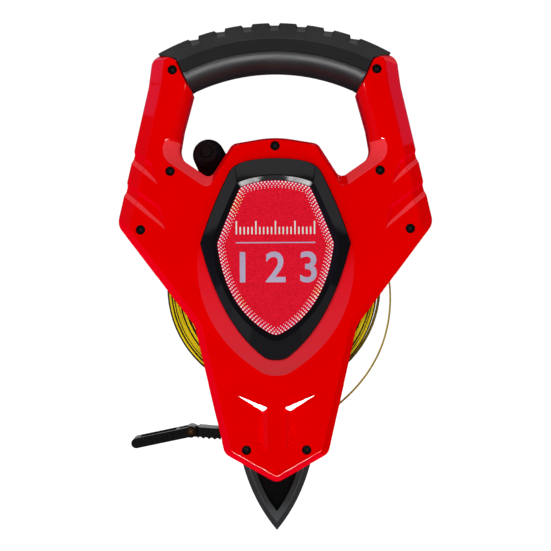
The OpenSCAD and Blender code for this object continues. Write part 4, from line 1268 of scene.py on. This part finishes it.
# CAD pieces that stay: their edges are rounded, by a width for each, and each gets its material
WELD = 0.002
ROUND_LIMIT = math.radians(32)
HEAD_TOP = 14.2
HEAD_FOOT = 10.0
RECESS_R = 1.7
FACING = 0.9
kept = (
    (black_screw, {"cover_screws": 0.25}),
    (reel_plastic, {"grip_core": 0.3, "reel_drum": 0.3, "front_flange": 0.3, "rear_flange": 0.3}),
    (bush_plastic, {"front_bush": 0.2, "rear_bush": 0.2}),
    (shaft_alloy, {"reel_shaft": 0.2}),
    (bright_steel, {
        "thrust_washers": 0.1, "flange_screws": 0.15, "tape_anchor": 0.15, "post_screw": 0.2,
        "fold_pin": 0.25, "axle_rivet": 0.3
    }),
    (black_plastic, {"crank_post": 0.5, "crank_arm": 0.7, "knob_axle": 0.4, "crank_knob": 0.3}),
    (hook_plastic, {"hook_body": 0.3, "hook_claw": 0.25}),
    (eyelet_brass, {"hook_rivet": 0.12}),
)


def round_edges(piece, width):
    weld = piece.modifiers.new("join", "WELD")
    weld.merge_threshold = WELD * MM
    bevel = piece.modifiers.new("round", "BEVEL")
    bevel.width = width * MM
    bevel.segments = 3
    bevel.limit_method = "ANGLE"
    bevel.angle_limit = ROUND_LIMIT
    bevel.use_clamp_overlap = True
    weigh_normals(piece)


for material, widths in kept:
    for name, width in widths.items():
        nodes[name].data.materials.clear()
        add_paints(nodes[name], material)
        round_edges(nodes[name], width)


# The recess walls and floor of each screw head take the painted highlight
def in_recess(centre, normal):
    near = min(math.dist((centre.x, centre.z), place) for place in SCREWS)
    in_head = near < RECESS_R and centre.y < -HEAD_FOOT
    return in_head and (normal.y > -FACING or centre.y > -HEAD_TOP + 0.2)


paint_faces(nodes["cover_screws"], screw_recess_highlight, in_recess)
# Painted light: the forward faces of the knob and its axle are lighter
paint_faces(nodes["crank_knob"], knob_face_painted_light, lambda centre, normal: normal.y < -FACING)
paint_faces(nodes["knob_axle"], knob_face_painted_light, lambda centre, normal: normal.y < -0.5)

# Stage: a pale floor, a white world behind it and soft studio light
FLOOR = 3.0
FLOOR_Z = -0.02
WHITE = (1.0, 1.0, 1.0)
floor_mesh = bpy.data.meshes.new("floor")
floor_mesh.from_pydata([(x, y, FLOOR_Z) for x, y in box(-FLOOR, -FLOOR, FLOOR, FLOOR)], [], [(0, 1, 2, 3)])
floor = link("floor", floor_mesh)
floor_paint, floor_tree, floor_shader, _ = new_material("floor_paint")
feed(floor_tree, floor_shader, {
    "Base Color": (0.2, 0.2, 0.2, 1.0), "Roughness": 0.9,
    "Emission Color": (*WHITE, 1.0), "Emission Strength": 1.0
})
add_paints(floor, floor_paint)
floor.visible_glossy = False

world = bpy.data.worlds.new("studio")
scene.world = world
world.use_nodes = True
tree = world.node_tree
direction = add_node(tree, "SeparateXYZ", {"Vector": add_node(tree, "TexCoord", {}).outputs["Generated"]})


def fade(axis, start, end):
    """0 where the direction's axis is at start, 1 at end."""
    return rescale(tree, direction.outputs[axis], start, end)


def world_math(kind, first, second):
    made = add_node(tree, "Math", {0: first, 1: second})
    made.operation = kind
    return made.outputs[0]


def world_mix(factor, first, second):
    return add_node(tree, "MixShader", {"Fac": factor, 1: first, 2: second}).outputs[0]


sky = ramp(tree, fade("Z", -1.0, 1.0), [
    (0.0, (0.3, 0.32, 0.36)), (0.3, (0.33, 0.36, 0.42)), (0.42, (0.03, 0.03, 0.032)),
    (0.58, (0.03, 0.03, 0.032)), (0.68, (0.45, 0.45, 0.46)), (1.0, (0.5, 0.5, 0.5))
])
left_wall = world_math("MULTIPLY", fade("X", -0.45, -0.65), fade("Z", 0.4, 0.3))
wall_glow = world_math("ADD", world_math("MULTIPLY", left_wall, 0.1), 0.02)
backdrop = tree.nodes["Background"]
feed(tree, backdrop, {"Color": (*WHITE, 1.0), "Strength": 1.05})
ambient = add_node(tree, "Background", {"Color": sky})
mirrored_room = add_node(tree, "Background", {"Color": (0.6, 0.35, 1.0, 1.0), "Strength": wall_glow})
ways = tree.nodes.new("ShaderNodeLightPath").outputs
indirect = world_mix(ways["Is Glossy Ray"], ambient.outputs[0], mirrored_room.outputs[0])
seen = world_mix(ways["Is Camera Ray"], indirect, backdrop.outputs[0])
feed(tree, tree.nodes["World Output"], {"Surface": seen})


def group(name, *pieces):
    made = bpy.data.collections.new(name)
    for piece in pieces:
        made.objects.link(piece)
    return made


covers = group("covers", front, rear)
badge_group = group("badge_group", badge)
handle = group("handle", grip)
hook = group("hook", nodes["hook_body"], nodes["hook_claw"], nodes["hook_rivet"])


def softbox(name, place, target, size, power, lit=None, glossy=True, colour=WHITE, cone=180.0):
    """A lamp that is either seen in reflections, by all pieces or by one group, or only lights them."""
    lamp = bpy.data.lights.new(name, "AREA")
    lamp.shape = "RECTANGLE"
    lamp.size, lamp.size_y = size
    lamp.energy = power
    lamp.color = colour
    lamp.spread = math.radians(cone)
    made = link(name, lamp)
    made.location = place
    made.rotation_euler = (Vector(target) - Vector(place)).to_track_quat("-Z", "Y").to_euler()
    made.visible_camera = False
    made.visible_glossy = glossy
    made.visible_diffuse = not glossy
    if lit:
        made.light_linking.receiver_collection = lit


LOW = -0.016
MIDDLE = (0.0, 0.0, 0.15)
PALE_LILAC = (0.9, 0.72, 1.0)
LILAC = (0.7, 0.35, 1.0)
BESIDE_Z = 0.5345
RIGHT_REACH = 0.014
ARCH_DEPTH = 0.11
ARCH_DIM = 30.0
ARCH_STRIPS = ((-150, -30, 19.0), (-30, -22, 8.0), (-22, 30, 0.7), (30, 38, 6.0), (38, 150, 17.0))
softbox("key", (-0.9, -1.3, 0.9), MIDDLE, (0.8, 0.8), 9.0, glossy=False)
softbox("fill", (0.9, -1.4, 0.5), MIDDLE, (0.9, 0.9), 4.0, glossy=False)
softbox("back_rim", (0.6, 1.2, 0.9), MIDDLE, (0.8, 0.8), 10.0, glossy=False)
for s in (-1, 1):
    softbox("over_arm", (s * 0.255, 0.08, 0.6), (s * 0.255, 0.08, 0.0), (0.33, 0.84), 0.6, covers,
            colour=PALE_LILAC)
    reach = RIGHT_REACH if s > 0 else 0.0
    level = BESIDE_Z - reach
    softbox("beside_arm", (s * 0.4, 0.075, level), (0.0, 0.075, level), (0.45, 0.355 + 2 * reach),
            0.25 + 1.4 * reach, covers, colour=LILAC)
    softbox("arm_glint", (s * 0.15, -0.235, 0.264), (s * -0.052, -0.0145, 0.261), (0.11, 0.023), 0.0065,
            covers, cone=20.0)
    softbox("low_strip", (s * 0.087, -0.105, LOW), (s * 0.087, -0.105, 0.2), (0.126, 0.11), 1.9, covers)
    softbox("foot_line", (s * 0.04, -0.08, LOW + 0.001), (s * 0.04, -0.08, 0.2), (0.07, 0.09), 1.1, covers)
    softbox("beside_badge", (s * 0.3, -0.6, 0.46), (s * 0.035, -0.018, 0.2), (0.2, 0.31), 0.09, badge_group)
    softbox("floor_side", (s * 0.29, -0.64, LOW), (s * 0.29, -0.64, 0.2), (0.32, 0.62), 0.12, badge_group)
for left, right, level in ARCH_STRIPS:
    x, width = (left + right) / 2 * MM, (right - left) * MM
    power = level * math.pi * width * ARCH_DEPTH / ARCH_DIM
    softbox("arch_strip", (x, -0.105, LOW), (0.0, -0.018, 0.205), (width, ARCH_DEPTH), power, badge_group,
            cone=40.0)
softbox("over_badge", (0.0, -0.6, 0.6), (0.0, -0.02, 0.21), (0.4, 0.3), 0.21, badge_group)
softbox("floor_middle", (0.0, -0.32, LOW), (0.0, -0.32, 0.2), (0.5, 0.26), 0.05, badge_group)
softbox("under_grip", (0.0, -0.144, 0.204), (0.0, -0.0155, 0.279), (0.3, 0.06), 0.48, handle)
softbox("behind_hook", (-0.08, 0.25, 0.25), (-0.06, 0.0, 0.06), (0.3, 0.3), 0.57, hook)
softbox("before_hook", (-0.1, -0.35, 0.35), (-0.06, 0.0, 0.06), (0.25, 0.25), 0.35, hook)

camera = link("camera", bpy.data.cameras.new("camera"))
camera.location = (-0.0001, -0.7, 0.15)
camera.rotation_euler = (math.pi / 2, math.radians(0.3), 0.0)
camera.data.sensor_width = 36.0
camera.data.lens = 77.5
camera.data.clip_start = 0.01
scene.camera = camera
scene.view_settings.view_transform = "Standard"
scene.view_settings.look = "None"
